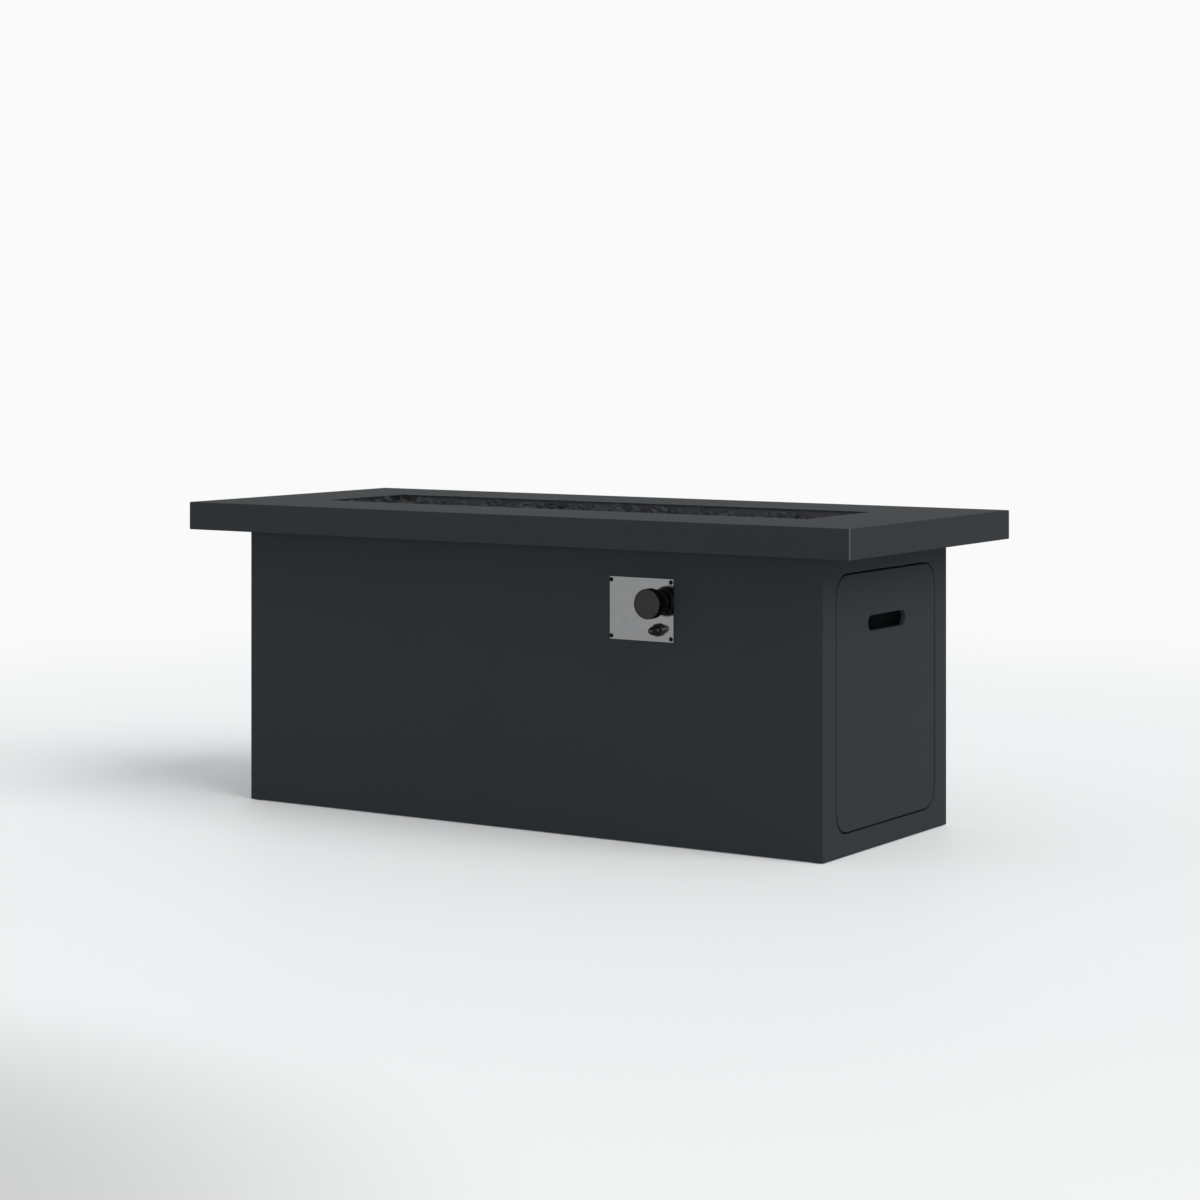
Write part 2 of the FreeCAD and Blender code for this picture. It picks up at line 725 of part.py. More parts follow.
def make_floor_panel():
    """The sheet that the gas cylinder stands on, notched round the posts and vented."""
    body = new_body("floor_panel")
    outline = sketch_on(body, "XY_Plane", ("0", "0", FLOOR_TOP))
    draw_rectangle(outline, "2 * %s" % INNER_HALF_X, "2 * %s" % INNER_HALF_Y)
    pad(body, outline, "cabinet_sheet")
    for sx in ("-1", "1"):
        for sy in ("-1", "1"):
            spot = ("%s * %s" % (sx, INNER_HALF_X), "%s * %s" % (sy, INNER_HALF_Y), FLOOR_TOP)
            notch = sketch_on(body, "XY_Plane", spot)
            draw_rectangle(notch, "2 * post_size", "2 * post_size")
            pocket(body, notch, "2 * cabinet_sheet")
    vent = sketch_on(body, "XY_Plane", ("tank_mid_x", "0", FLOOR_TOP))
    draw_circle(vent, "120")
    pocket(body, vent, "2 * cabinet_sheet")
    slots = sketch_on(body, "XY_Plane", ("-450", "0", FLOOR_TOP))
    draw_slot(slots, "120", "12")
    first = pocket(body, slots, "2 * cabinet_sheet")
    repeat(body, first, slots, "H_Axis", "600", 4)


def make_tank_ring():
    start = ("tank_mid_x", "0", FLOOR_TOP)
    finish(
        ring(start, "Z", "tank_ring_bore + 2 * tank_ring_wall", "tank_ring_bore", "tank_ring_height"),
        "tank_ring",
    )


# Burner pan and what hangs from it

def make_burner_pan():
    body = new_body("burner_pan")
    flange = sketch_on(body, "XY_Plane", ("0", "0", TOP_UNDERSIDE))
    reach = "2 * pan_sheet + 2 * pan_flange"
    draw_rectangle(flange, "pan_length + " + reach, "pan_width + " + reach, "8")
    pad(body, flange, "pan_sheet")
    walls = sketch_on(body, "XY_Plane", ("0", "0", TOP_UNDERSIDE))
    draw_rectangle(walls, "pan_length + 2 * pan_sheet", "pan_width + 2 * pan_sheet", "4")
    pad(body, walls, "pan_depth")
    inside = sketch_on(body, "XY_Plane", ("0", "0", TOP_UNDERSIDE))
    draw_rectangle(inside, "pan_length", "pan_width", "4 - pan_sheet")
    pocket(body, inside, "pan_depth - pan_sheet")
    holes = sketch_on(body, "XY_Plane", ("0", "0", PAN_FLOOR))
    draw_circle(holes, "inlet_dia + 1")
    draw_circle(holes, WIRE_HOLE, (ELECTRODE_X, ELECTRODE_Y))
    draw_circle(holes, WIRE_HOLE, (PROBE_X, ELECTRODE_Y))
    for x in ("-540", "540"):
        for y in ("-104", "104"):
            draw_circle(holes, "8", (x, y))
    pocket(body, holes, "2 * pan_sheet")
    studs = sketch_on(body, "XY_Plane", ("0", "0", TOP_UNDERSIDE))
    for x, side in PAN_STUDS:
        draw_circle(studs, "5.5", (x, "%s * %s" % (side, STUD_Y)))
    pocket(body, studs, "2 * pan_sheet")


def make_pan_fixings():
    """Studs welded under the top, with the nuts that clamp the pan's flange up to it."""
    fixings = []
    for x, side in PAN_STUDS:
        y = "%s * %s" % (side, STUD_Y)
        stud = rod((x, y, TOP_UNDERSIDE), "-Z", "5", "12")
        nut = hexagon((x, y, TOP_UNDERSIDE + " - pan_sheet"), "-Z", "8", "4")
        fixings.append(join(stud, nut))
    finish(group(*fixings), "pan_fixings")


def make_burner():
    """Two long tubes and a cross tube in an H, drilled with ports, fed through the pan's floor."""
    half = "burner_length / 2"
    bore_dia = "burner_tube - 2 * burner_wall"
    outer = []
    bores = []
    for side in ("-1", "1"):
        y = "%s * burner_spacing / 2" % side
        outer.append(rod(("-" + half, y, BURNER_MID), "X", "burner_tube", "burner_length"))
        bores.append(rod(("-%s + 2" % half, y, BURNER_MID), "X", bore_dia, "burner_length - 4"))
    cross = ("0", "-burner_spacing / 2", BURNER_MID)
    outer.append(rod(cross, "Y", "cross_tube", "burner_spacing"))
    bores.append(rod(cross, "Y", "cross_tube - 2 * burner_wall", "burner_spacing"))
    foot = "%s - inlet_drop" % PAN_UNDERSIDE
    rise = "%s - (%s)" % (BURNER_MID, foot)
    outer.append(rod(("0", "0", foot), "Z", "inlet_dia", rise + " + cross_tube / 2 + 1"))
    bores.append(rod(("0", "0", foot), "Z", "inlet_dia - 4", rise))
    shell = cut(join(*outer), join(*bores))
    drill = doc.addObject("Part::Feature", "Ports")
    count = int(number("(burner_length - 40) / port_pitch"))
    level = number(BURNER_MID)
    pins = []
    for i in range(count + 1):
        for side in (-1, 1):
            x = (i - count / 2) * number("port_pitch")
            y = side * number("burner_spacing / 2")
            pins.append(Part.makeCylinder(number("port_dia / 2"), number("burner_tube"), Vector(x, y, level)))
    drill.Shape = Part.makeCompound(pins)
    finish(cut(shell, drill), "burner")


def make_burner_stands():
    """Two folded bridges on the pan's floor that the long tubes lie on."""
    stands = []
    for side in ("-1", "1"):
        x = "%s * %s - 10" % (side, STAND_X)
        outer_y = "-burner_spacing / 2 - 14"
        inner_y = "-burner_spacing / 2 - 12.5"
        outer = block((x, outer_y, PAN_FLOOR), ("20", "burner_spacing + 28", "burner_lift"))
        inner = block((x, inner_y, PAN_FLOOR), ("20", "burner_spacing + 25", "burner_lift - 1.5"))
        stands.append(cut(outer, inner))
    finish(group(*stands), "burner_stands")


def make_burner_lock_nut():
    start = ("0", "0", PAN_UNDERSIDE)
    nut = cut(hexagon(start, "-Z", "32", "7"), rod(start, "-Z", "inlet_dia", "7"))
    finish(nut, "burner_lock_nut")


def make_heat_shield():
    """A sheet with its long edges turned up, hung under the pan over the gas cylinder and valve."""
    body = new_body("heat_shield")
    top = "shield_low + 1"
    sheet_top = sketch_on(body, "XY_Plane", ("0", "0", top))
    draw_rectangle(sheet_top, "shield_length", "shield_width")
    pad(body, sheet_top, "1")
    for side in ("-1", "1"):
        lip = sketch_on(body, "XY_Plane", ("0", "%s * (shield_width / 2 - 0.5)" % side, "shield_low"))
        draw_rectangle(lip, "shield_length", "1")
        pad(body, lip, "shield_lip", False)
    holes = sketch_on(body, "XY_Plane", ("0", "0", top))
    draw_circle(holes, "shield_hole")
    for spot in STANDOFFS:
        draw_circle(holes, "5.2", spot)
    pocket(body, holes, "2")


def make_shield_standoffs():
    """Hexagonal spacers between the pan and the shield, each with its screw and nut."""
    items = []
    for x, y in STANDOFFS:
        top = "shield_low + 1"
        spacer = hexagon((x, y, top), "Z", "10", "%s - (%s)" % (PAN_UNDERSIDE, top))
        screw = rod((x, y, top), "-Z", "5", "8")
        nut = hexagon((x, y, "shield_low"), "-Z", "8", "4")
        items.append(join(spacer, screw, nut))
    finish(group(*items), "shield_standoffs")


def make_flame_bracket():
    """A strip on the pan's floor that steadies the electrode and the flame probe beside the burner."""
    foot = block(("42", "-128", PAN_FLOOR), ("66", "12", "1.5"))
    wall = block(("42", "-117.5", PAN_FLOOR), ("66", "1.5", "21"))
    shelf = block(("42", "-117.5", PAN_FLOOR + " + 19.5"), ("66", "24", "1.5"))
    holes = [
        rod((x, ELECTRODE_Y, PAN_FLOOR + " + 15"), "Z", size, "10")
        for x, size in ((ELECTRODE_X, "8.4"), (PROBE_X, "5.4"))
    ]
    finish(cut(join(foot, wall, shelf), *holes), "flame_bracket")


def make_electrode():
    """A ceramic tube through the pan's floor with the spark rod in it."""
    x = number(ELECTRODE_X)
    y = number(ELECTRODE_Y)
    low = number(PAN_UNDERSIDE) - WIRE_DROP
    tube = Part.makeCylinder(4, 44, Vector(x, y, low))
    finger = swept_tube([(x, y, low + 40), (x, y, low + 50), (x, y + 30, low + 50)], 4, 2.4)
    made("electrode", tube.fuse(finger))


# Gas train

def make_air_mixer():
    """The mixing tube screwed on the burner's inlet, with four air windows."""
    start = ("0", "0", MIXER_TOP)
    outer = join(rod(start, "-Z", "27", MIXER_LENGTH), rod(start, "-Z", "32", "14"))
    socket = rod(start, "-Z", "inlet_dia", MIXER_SOCKET)
    throat = rod(start, "-Z", "16", "55")
    seat = rod(start, "-Z", "10", MIXER_LENGTH)
    low = "%s - 44" % MIXER_TOP
    across_x = block(("-20", "-5", low), ("40", "10", "20"))
    across_y = block(("-5", "-20", low), ("10", "40", "20"))
    finish(cut(outer, socket, throat, seat, across_x, across_y), "air_mixer")


def make_orifice_fitting():
    """The gas jet: its threaded nose sits in the mixer's lower end."""
    nose = rod(("0", "0", JET_HEX), "Z", "10", "9")
    flats = hexagon(("0", "0", JET_HEX), "-Z", "17", "8")
    spigot = rod(("0", "0", JET_HEX + " - 8"), "-Z", "12", "10")
    bore = rod(("0", "0", JET_HEX + " - 18"), "Z", "5", "22")
    jet = rod(("0", "0", JET_HEX), "Z", "1.6", "10")
    finish(cut(join(nose, flats, spigot), bore, jet), "orifice_fitting")


def make_gas_pipe():
    """Bent aluminium pipe from the valve's outlet to the gas jet."""
    jet_low = number(JET_HEX) - 18
    valve_x = number("knob_x") - SIDE_PORT - 12
    level = number("knob_z")
    points = [
        (0, 0, jet_low),
        (0, 0, jet_low - 42),
        (70, -75, jet_low - 42),
        (150, VALVE_MID_Y + 30, level - 30),
        (205, VALVE_MID_Y, level),
        (valve_x, VALVE_MID_Y, level),
    ]
    made("gas_pipe", swept_tube(points, 30, number("gas_pipe_dia"), number("gas_pipe_dia") - 2.4))


def make_pipe_nuts():
    """The flare nuts at the pipe's two ends."""
    low = ("0", "0", JET_HEX + " - 24")
    lower = cut(
        hexagon(low, "Z", "17", "16"),
        rod(low, "Z", "gas_pipe_dia", "6"),
        rod(("0", "0", JET_HEX + " - 18"), "Z", "12", "10"),
    )
    start = ("knob_x - %d - 18" % SIDE_PORT, str(VALVE_MID_Y), "knob_z")
    valve_end = cut(
        hexagon(start, "X", "17", "16"),
        rod(start, "X", "gas_pipe_dia", "6"),
        rod(("knob_x - %d - 12" % SIDE_PORT, str(VALVE_MID_Y), "knob_z"), "X", "12", "10"),
    )
    finish(group(lower, valve_end), "pipe_nuts")


# Valve, in a stack along Y behind the control plate

def axis_rod(y_from, y_to, diameter, x="knob_x", z="knob_z"):
    """A round along Y, from one y to another, on the knob's axis unless told otherwise."""
    return rod((x, str(y_from), z), "Y", diameter, str(y_to - y_from))


def make_valve_body():
    barrel = axis_rod(BODY_FRONT, VALVE_BACK, "28")
    flange = axis_rod(BODY_FRONT, FLANGE_BACK, "42")
    outlet = rod(("knob_x", str(VALVE_MID_Y), "knob_z"), "-X", "15", "%d - 2" % SIDE_PORT)
    outlet_nose = rod(("knob_x", str(VALVE_MID_Y), "knob_z"), "-X", "12", "%d + 12" % SIDE_PORT)
    inlet = rod(("knob_x", str(VALVE_MID_Y), "knob_z"), "X", "18", str(SIDE_PORT))
    magnet = axis_rod(VALVE_BACK, VALVE_BACK + 12, "16")
    chamber = axis_rod(BODY_FRONT, CHAMBER_END, CHAMBER_DIA)
    plug_bore = axis_rod(CHAMBER_END, PLUG_END, "12 + 2 * fit_gap")
    outlet_end = "knob_x - %d - 12" % SIDE_PORT
    gas_way = rod((outlet_end, str(VALVE_MID_Y), "knob_z"), "X", "5", "2 * %d + 12" % SIDE_PORT)
    screws = [axis_rod(BODY_FRONT, FLANGE_BACK, "3", "knob_x", z) for z in VALVE_SCREWS_Z]
    solid = join(barrel, flange, outlet, outlet_nose, inlet, magnet)
    finish(cut(solid, chamber, plug_bore, gas_way, *screws), "valve_body")


def make_valve_bonnet():
    nose = axis_rod(BONNET_FRONT, BODY_FRONT, "22")
    flange = axis_rod(BRACKET_BACK, BODY_FRONT, "42")
    stem_bore = axis_rod(BONNET_FRONT, BODY_FRONT, "stem_dia + 2 * fit_gap")
    chamber = axis_rod(BONNET_FRONT + 3, BODY_FRONT, CHAMBER_DIA)
    keyways = block(("knob_x - 9.6", str(BONNET_FRONT + 3), "knob_z - 1.6"), ("19.2", "9", "3.2"))
    screws = [axis_rod(BRACKET_BACK, BODY_FRONT, "3", "knob_x", z) for z in VALVE_SCREWS_Z]
    finish(cut(join(nose, flange), stem_bore, chamber, keyways, *screws), "valve_bonnet")


def make_valve_screws():
    screws = []
    for z in VALVE_SCREWS_Z:
        head = axis_rod(BRACKET_FRONT - 2, BRACKET_FRONT, "5.6", "knob_x", z)
        shank = axis_rod(BRACKET_FRONT, FLANGE_BACK, "3", "knob_x", z)
        screws.append(join(head, shank))
    finish(group(*screws), "valve_screws")


def make_valve_plug():
    """The turning plug; the stem's tang slides in its slot."""
    barrel = axis_rod(CHAMBER_END + 0.4, PLUG_END - 0.4, "12")
    slot = block(("knob_x - 6.5", str(CHAMBER_END), "knob_z - 1.8"), ("13", "9", "3.6"))
    way = rod(("knob_x - 7", str(VALVE_MID_Y), "knob_z"), "X", "4", "14")
    finish(cut(barrel, slot, way), "valve_plug")


def make_valve_stem():
    """Turning spindle with a flat for the knob, a collar for the spring's washer and a tang for the plug."""
    shaft = rod(("knob_x", "-stem_front", "knob_z"), "Y", "stem_dia", "stem_front - 228")
    flat_low = ("knob_x - 5", "-stem_front - 1", "knob_z + stem_flat")
    flat = block(flat_low, ("10", "stem_flat_length + 1", "3"))
    collar = axis_rod(COLLAR_FRONT, COLLAR_FRONT + 1.6, "14")
    tang = block(("knob_x - 3.5", "-229", "knob_z - 1.5"), ("7", "10", "3"))
    finish(join(cut(shaft, flat), collar, tang), "valve_stem")


def make_thrust_washer():
    """Keyed washer between the turning collar and the spring: it slides but can't turn."""
    back = WASHER_FRONT + WASHER_SHEET
    disc = axis_rod(WASHER_FRONT, back, "15.8")
    keys = block(("knob_x - 9.2", str(WASHER_FRONT), "knob_z - 1.2"), ("18.4", str(WASHER_SHEET), "2.4"))
    hole = axis_rod(WASHER_FRONT, back, "stem_dia + 2 * fit_gap")
    finish(cut(join(disc, keys), hole), "thrust_washer")


def make_valve_spring():
    front = WASHER_FRONT + WASHER_SHEET
    centre = (number("knob_x"), front, number("knob_z"))
    made("valve_spring", coil(centre, "Y", 12.4, 1.2, CHAMBER_END - front, 4))


def make_valve_bracket():
    """Hat-shaped bracket behind the front panel, held by the control plate's screws."""
    low_z = "plate_mid_z - plate_height / 2"
    depth = "%d - %s" % (BRACKET_BACK, PANEL_BACK)
    pieces = [block(("plate_mid_x - 59", str(BRACKET_FRONT), low_z), ("118", "2", "plate_height"))]
    for start in ("plate_mid_x - plate_length / 2", "plate_mid_x + 57"):
        pieces.append(block((start, PANEL_BACK, low_z), ("plate_length / 2 - 57", "2", "plate_height")))
    for start in ("plate_mid_x - 59", "plate_mid_x + 57"):
        pieces.append(block((start, PANEL_BACK, low_z), ("2", depth, "plate_height")))
    holes = [axis_rod(-250, -230, "22.4"), axis_rod(-250, -230, "25", "igniter_x", "igniter_z")]
    for z in VALVE_SCREWS_Z:
        holes.append(axis_rod(-250, -230, "3.2", "knob_x", z))
    for dx, dz in PLATE_SCREWS:
        x = "plate_mid_x + %s" % dx
        z = "plate_mid_z + %s" % dz
        holes.append(axis_rod(-250, -230, "plate_screw_dia", x, z))
    finish(cut(join(*pieces), *holes), "valve_bracket")


def make_inlet_fitting():
    """Flare fitting on the valve's inlet, for the hose from the gas cylinder."""
    start = "knob_x + %d" % SIDE_PORT
    flats = hexagon((start, str(VALVE_MID_Y), "knob_z"), "X", "19", "8")
    thread = rod((start + " + 8", str(VALVE_MID_Y), "knob_z"), "X", "15.8", "13")
    cone = taper((start + " + 21", str(VALVE_MID_Y), "knob_z"), "X", "13", "9.4", "3.6")
    bore = rod((start, str(VALVE_MID_Y), "knob_z"), "X", "5", "26")
    finish(cut(join(flats, thread, cone), bore), "inlet_fitting")


# Knob, control plate and their fasteners

def make_knob():
    """A fluted knob with a rounded rim, a shallow dished face and a smaller skirt, hollow behind."""
    body = new_body("knob")
    face = "(cabinet_width / 2 + plate_sheet + knob_proud)"
    rear = "(cabinet_width / 2 + plate_sheet + knob_gap)"
    grip_depth = "knob_proud - knob_gap - knob_skirt_depth"
    skirt_dia = "(knob_dia - 2 * knob_skirt_drop)"
    rim = sketch_on(body, "XZ_Plane", ("knob_x", "knob_z", face))
    draw_circle(rim, "knob_dia")
    grip = pad(body, rim, grip_depth)
    front_y = -number(face)
    round_edges(body, grip, "knob_rim", lambda edge: lies(edge, "Y", front_y))
    skirt = sketch_on(body, "XZ_Plane", ("knob_x", "knob_z", "%s + knob_skirt_depth" % rear))
    draw_circle(skirt, skirt_dia)
    pad(body, skirt, "knob_skirt_depth")
    dish = sketch_on(body, "XZ_Plane", ("knob_x", "knob_z", face))
    draw_circle(dish, "knob_dia - 2 * knob_rim - 3")
    pocket(body, dish, "0.6")
    hollow = sketch_on(body, "XZ_Plane", ("knob_x", "knob_z", rear))
    draw_circle(hollow, "%s - 2 * knob_wall" % skirt_dia)
    draw_circle(hollow, "2 * stem_dia")
    pocket(body, hollow, "knob_proud - knob_gap - 2 * knob_wall", True)
    socket = sketch_on(body, "XZ_Plane", ("knob_x", "knob_z", rear))
    draw_circle(socket, "stem_dia")
    pocket(body, socket, "stem_front - %s" % rear, True)
    key = sketch_on(body, "XZ_Plane", ("knob_x", "knob_z + stem_flat + 1", "stem_front"))
    draw_rectangle(key, "stem_dia", "2")
    pad(body, key, "stem_flat_length - 1")
    flute = sketch_on(body, "XZ_Plane", ("knob_x", "knob_z", face))
    draw_circle(flute, "knob_flute", ("0", "knob_dia / 2"))
    groove = pocket(body, flute, grip_depth)
    doc.recompute()
    flutes = body.newObject("PartDesign::PolarPattern", "Flutes")
    flutes.Originals = [groove]
    flutes.Axis = (flute, ["N_Axis"])
    flutes.Angle = 360
    bind(flutes, {"Occurrences": "knob_flutes"})
    body.Tip = flutes


def make_control_plate():
    body = new_body("control_plate")
    middle = ("plate_mid_x", "plate_mid_z", "-(%s)" % PLATE_FRONT)
    outline = sketch_on(body, "XZ_Plane", middle)
    draw_rectangle(outline, "plate_length", "plate_height", "1.5")
    pad(body, outline, "plate_sheet")
    holes = sketch_on(body, "XZ_Plane", middle)
    for spot in PLATE_SCREWS:
        draw_circle(holes, "plate_screw_dia", spot)
    draw_circle(holes, "15", ("knob_x - plate_mid_x", "knob_z - plate_mid_z"))
    draw_circle(holes, "igniter_barrel", ("igniter_x - plate_mid_x", "igniter_z - plate_mid_z"))
    pocket(body, holes, "2 * plate_sheet")


def make_plate_screws():
    """Pan-head screws through plate, panel and bracket, each with a cross slot."""
    screws = []
    nuts = []
    for dx, dz in PLATE_SCREWS:
        x = "plate_mid_x + %s" % dx
        z = "plate_mid_z + %s" % dz
        head = taper((x, PLATE_FRONT, z), "-Y", "plate_screw_head", "plate_screw_head - 2.6", "2.4")
        shank = rod((x, PLATE_FRONT, z), "Y", "plate_screw_dia", "13")
        slots = [
            block((x + " - 2.2", PLATE_FRONT + " - 2.4", z + " - 0.5"), ("4.4", "1.4", "1")),
            block((x + " - 0.5", PLATE_FRONT + " - 2.4", z + " - 2.2"), ("1", "1.4", "4.4")),
        ]
        screws.append(cut(join(head, shank), *slots))
        start = (x, PANEL_BACK + " + 2", z)
        nuts.append(cut(hexagon(start, "Y", "7", "3.2"), rod(start, "Y", "plate_screw_dia", "3.2")))
    finish(group(*screws), "plate_screws")
    finish(group(*nuts), "plate_nuts")


# Piezo igniter

def igniter_rod(y_from, y_to, diameter):
    return rod(("igniter_x", y_from, "igniter_z"), "Y", diameter, "(%s) - (%s)" % (y_to, y_from))


def make_igniter_body():
    """Barrel through the plate, with a collar that is recessed for the button, and a blade for the lead."""
    edge_back = IGNITER_FRONT + " + igniter_collar_edge"
    collar = igniter_rod(edge_back, PLATE_FRONT, "igniter_collar")
    rim = "igniter_collar - 2 * igniter_collar_edge"
    edge = taper(("igniter_x", edge_back, "igniter_z"), "-Y", "igniter_collar", rim, "igniter_collar_edge")
    barrel = igniter_rod(PLATE_FRONT, IGNITER_BACK, "igniter_barrel")
    tail = igniter_rod(IGNITER_BACK, IGNITER_BACK + 4, "9")
    foot = ("igniter_x - 2.4", str(IGNITER_BACK + 4), "igniter_z - 0.4")
    blade = block(foot, ("4.8", str(BLADE_END - IGNITER_BACK - 4), "0.8"))
    recess = igniter_rod(IGNITER_FRONT, IGNITER_FRONT + " + igniter_recess", "button_dia + 2 * part_gap")
    bore = igniter_rod(IGNITER_FRONT, SPRING_SEAT, PLUNGER_BORE)
    finish(cut(join(collar, edge, barrel, tail, blade), recess, bore), "igniter_body")


def make_igniter_nut():
    start = ("igniter_x", "-cabinet_width / 2", "igniter_z")
    finish(cut(hexagon(start, "Y", "21", "6"), rod(start, "Y", "igniter_barrel", "6")), "igniter_nut")


def make_igniter_button():
    """A long-domed cap on a plunger."""
    dome_y = PLATE_FRONT + " - igniter_proud + button_dome"
    cap = igniter_rod(dome_y, CAP_BACK, "button_dia")
    plunger = igniter_rod(CAP_BACK, PLUNGER_BACK, "plunger_dia")
    dome = doc.addObject("Part::Ellipsoid", "dome")
    dome.Placement = Placement(Vector(), ALONG["-Y"])
    dome.Angle1 = 0
    half = "button_dia / 2"
    bind(dome, {"Radius1": "button_dome", "Radius2": half, "Radius3": half})
    put(dome, ("igniter_x", dome_y, "igniter_z"))
    finish(join(plunger, cap, dome), "igniter_button")


def make_igniter_spring():
    centre = (number("igniter_x"), PLUNGER_BACK, number("igniter_z"))
    made("igniter_spring", coil(centre, "Y", 9.4, 1.0, SPRING_SEAT - PLUNGER_BACK, 5))


def make_ignition_lead():
    """Silicone lead from the igniter's blade, over the shield, to the electrode."""
    x = number("igniter_x")
    z = number("igniter_z")
    end_x = number(ELECTRODE_X)
    end_y = number(ELECTRODE_Y)
    under = number(PAN_UNDERSIDE)
    points = [
        (x, BLADE_END, z),
        (x, BLADE_END + 20, z),
        (290, -168, 430),
        (250, -176, 480),
        (205, -170, under - 14),
        (150, -145, under - 14),
        (112, -116, under - 22),
        (end_x, end_y, under - 27),
        (end_x, end_y, under - WIRE_DROP),
    ]
    made("ignition_lead", swept_tube(points, 25, 3.4))


def make_flame_probe():
    """Thermocouple: a probe beside the burner and its copper lead from the valve's magnet nut."""
    level = number("knob_z")
    under = number(PAN_UNDERSIDE)
    x = number("knob_x")
    px = number(PROBE_X)
    py = number(ELECTRODE_Y)
    points = [
        (x, VALVE_BACK + 12, level),
        (x, VALVE_BACK + 24, level),
        (294, -152, 478),
        (262, -158, 508),
        (215, -158, under - 7),
        (150, -130, under - 7),
        (90, -112, under - 16),
        (px, py, under - 26),
        (px, py, under - 10),
    ]
    lead = swept_tube(points, 25, 2.2)
    probe = Part.makeCylinder(2.6, 38, Vector(px, py, under - 6))
    tip = Part.makeSphere(2.6, Vector(px, py, under + 32))
    collar = Part.makeCylinder(4.4, 5, Vector(px, py, under - 11))
    made("flame_probe", lead.fuse([probe, tip, collar]))


# Access door

def make_access_door():
    body = new_body("access_door")
    middle = ("0", DOOR_MID, CABINET_HALF_X)
    face = sketch_on(body, "YZ_Plane", middle)
    draw_rectangle(face, "door_width", "door_height", "door_corner")
    pad(body, face, "cabinet_sheet")
    edge = sketch_on(body, "YZ_Plane", middle)
    draw_rectangle(edge, "door_width", "door_height", "door_corner")
    inner = "- 2 * cabinet_sheet"
    draw_rectangle(edge, "door_width " + inner, "door_height " + inner, "door_corner - cabinet_sheet")
    folded = pad(body, edge, "door_return")
    round_face_edges(body, folded, "door_edge", "door_width")
    grip = ("0", "grip_mid", CABINET_HALF_X)
    lining = sketch_on(body, "YZ_Plane", grip)
    draw_slot(lining, "grip_length + 2 * cabinet_sheet", "grip_height + 2 * cabinet_sheet")
    pad(body, lining, "grip_return")
    slot = sketch_on(body, "YZ_Plane", grip)
    draw_slot(slot, "grip_length", "grip_height")
    opened = pocket(body, slot, "2 * grip_return")
    round_face_edges(body, opened, "grip_edge", "grip_length")


def make_door_pegs():
    """Round-nosed pegs on the door's back, low down, that drop into the rubber sockets."""
    pegs = []
    for side in ("-1", "1"):
        y = "%s * peg_mid_y" % side
        foot = rod((INNER_HALF_X, y, "peg_mid_z"), "-X", "20", "2")
        shank = rod((INNER_HALF_X, y, "peg_mid_z"), "-X", "peg_dia", "28")
        nose = taper((INNER_HALF_X + " - 28", y, "peg_mid_z"), "-X", "peg_dia", "peg_dia - 4", "4")
        pegs.append(join(foot, shank, nose))
    finish(group(*pegs), "door_pegs")


def make_sill_brackets():
    """Upright plates on the cabinet floor that hold the rubber sockets."""
    brackets = []
    for side in ("-1", "1"):
        y = "%s * peg_mid_y" % side
        wall = block((INNER_HALF_X + " - 24", y + " - 22", FLOOR_TOP), ("2", "44", "56"))
        foot = block((INNER_HALF_X + " - 46", y + " - 22", FLOOR_TOP), ("24", "44", "2"))
        hole = rod((INNER_HALF_X + " - 30", y, "peg_mid_z"), "X", "peg_dia + 6", "12")
        brackets.append(cut(join(wall, foot), hole))
    finish(group(*brackets), "sill_brackets")


def make_peg_sockets():
    sockets = []
    for side in ("-1", "1"):
        y = "%s * peg_mid_y" % side
        start = INNER_HALF_X + " - 26"
        rims = [rod((start, y, "peg_mid_z"), "X", "peg_dia + 10", "2")]
        rims.append(rod((start + " + 4", y, "peg_mid_z"), "X", "peg_dia + 10", "2"))
        neck = rod((start, y, "peg_mid_z"), "X", "peg_dia + 6", "6")
        bore = rod((start, y, "peg_mid_z"), "X", "peg_dia + 2 * part_gap", "6")
        sockets.append(cut(join(neck, *rims), bore))
    finish(group(*sockets), "peg_sockets")


def make_catch_brackets():
    """Folded brackets behind the jamb that carry the magnets."""
    brackets = []
    for side in ("-1", "1"):
        y = "%s * catch_mid_y - 22" % side
        web = block((INNER_HALF_X + " - 23", y, "catch_low"), ("2", "44", "48"))
        leg = block((INNER_HALF_X + " - 23", y, "catch_low + 46"), ("23", "44", "2"))
        brackets.append(join(web, leg))
    finish(group(*brackets), "catch_brackets")


def make_catch_magnets():
    magnets = []
    for side in ("-1", "1"):
        low = (INNER_HALF_X + " - 21", "%s * catch_mid_y - 20" % side, "catch_low")
        case = block(low, ("19.2", "40", "catch_height"))
        pole_x = INNER_HALF_X + " - 1.8"
        pole_y = "%s * catch_mid_y - 17" % side
        poles = [block((pole_x, pole_y, "catch_low + %s" % z), ("1.5", "34", "2")) for z in ("3", "9")]
        magnets.append(join(case, *poles))
    finish(group(*magnets), "catch_magnets")


# Lava rock

def scatter(seed):
    """A repeatable number from 0 to 1 for each seed."""
    value = math.sin(seed * 12.9898 + 4.1414) * 43758.5453
    return value - math.floor(value)


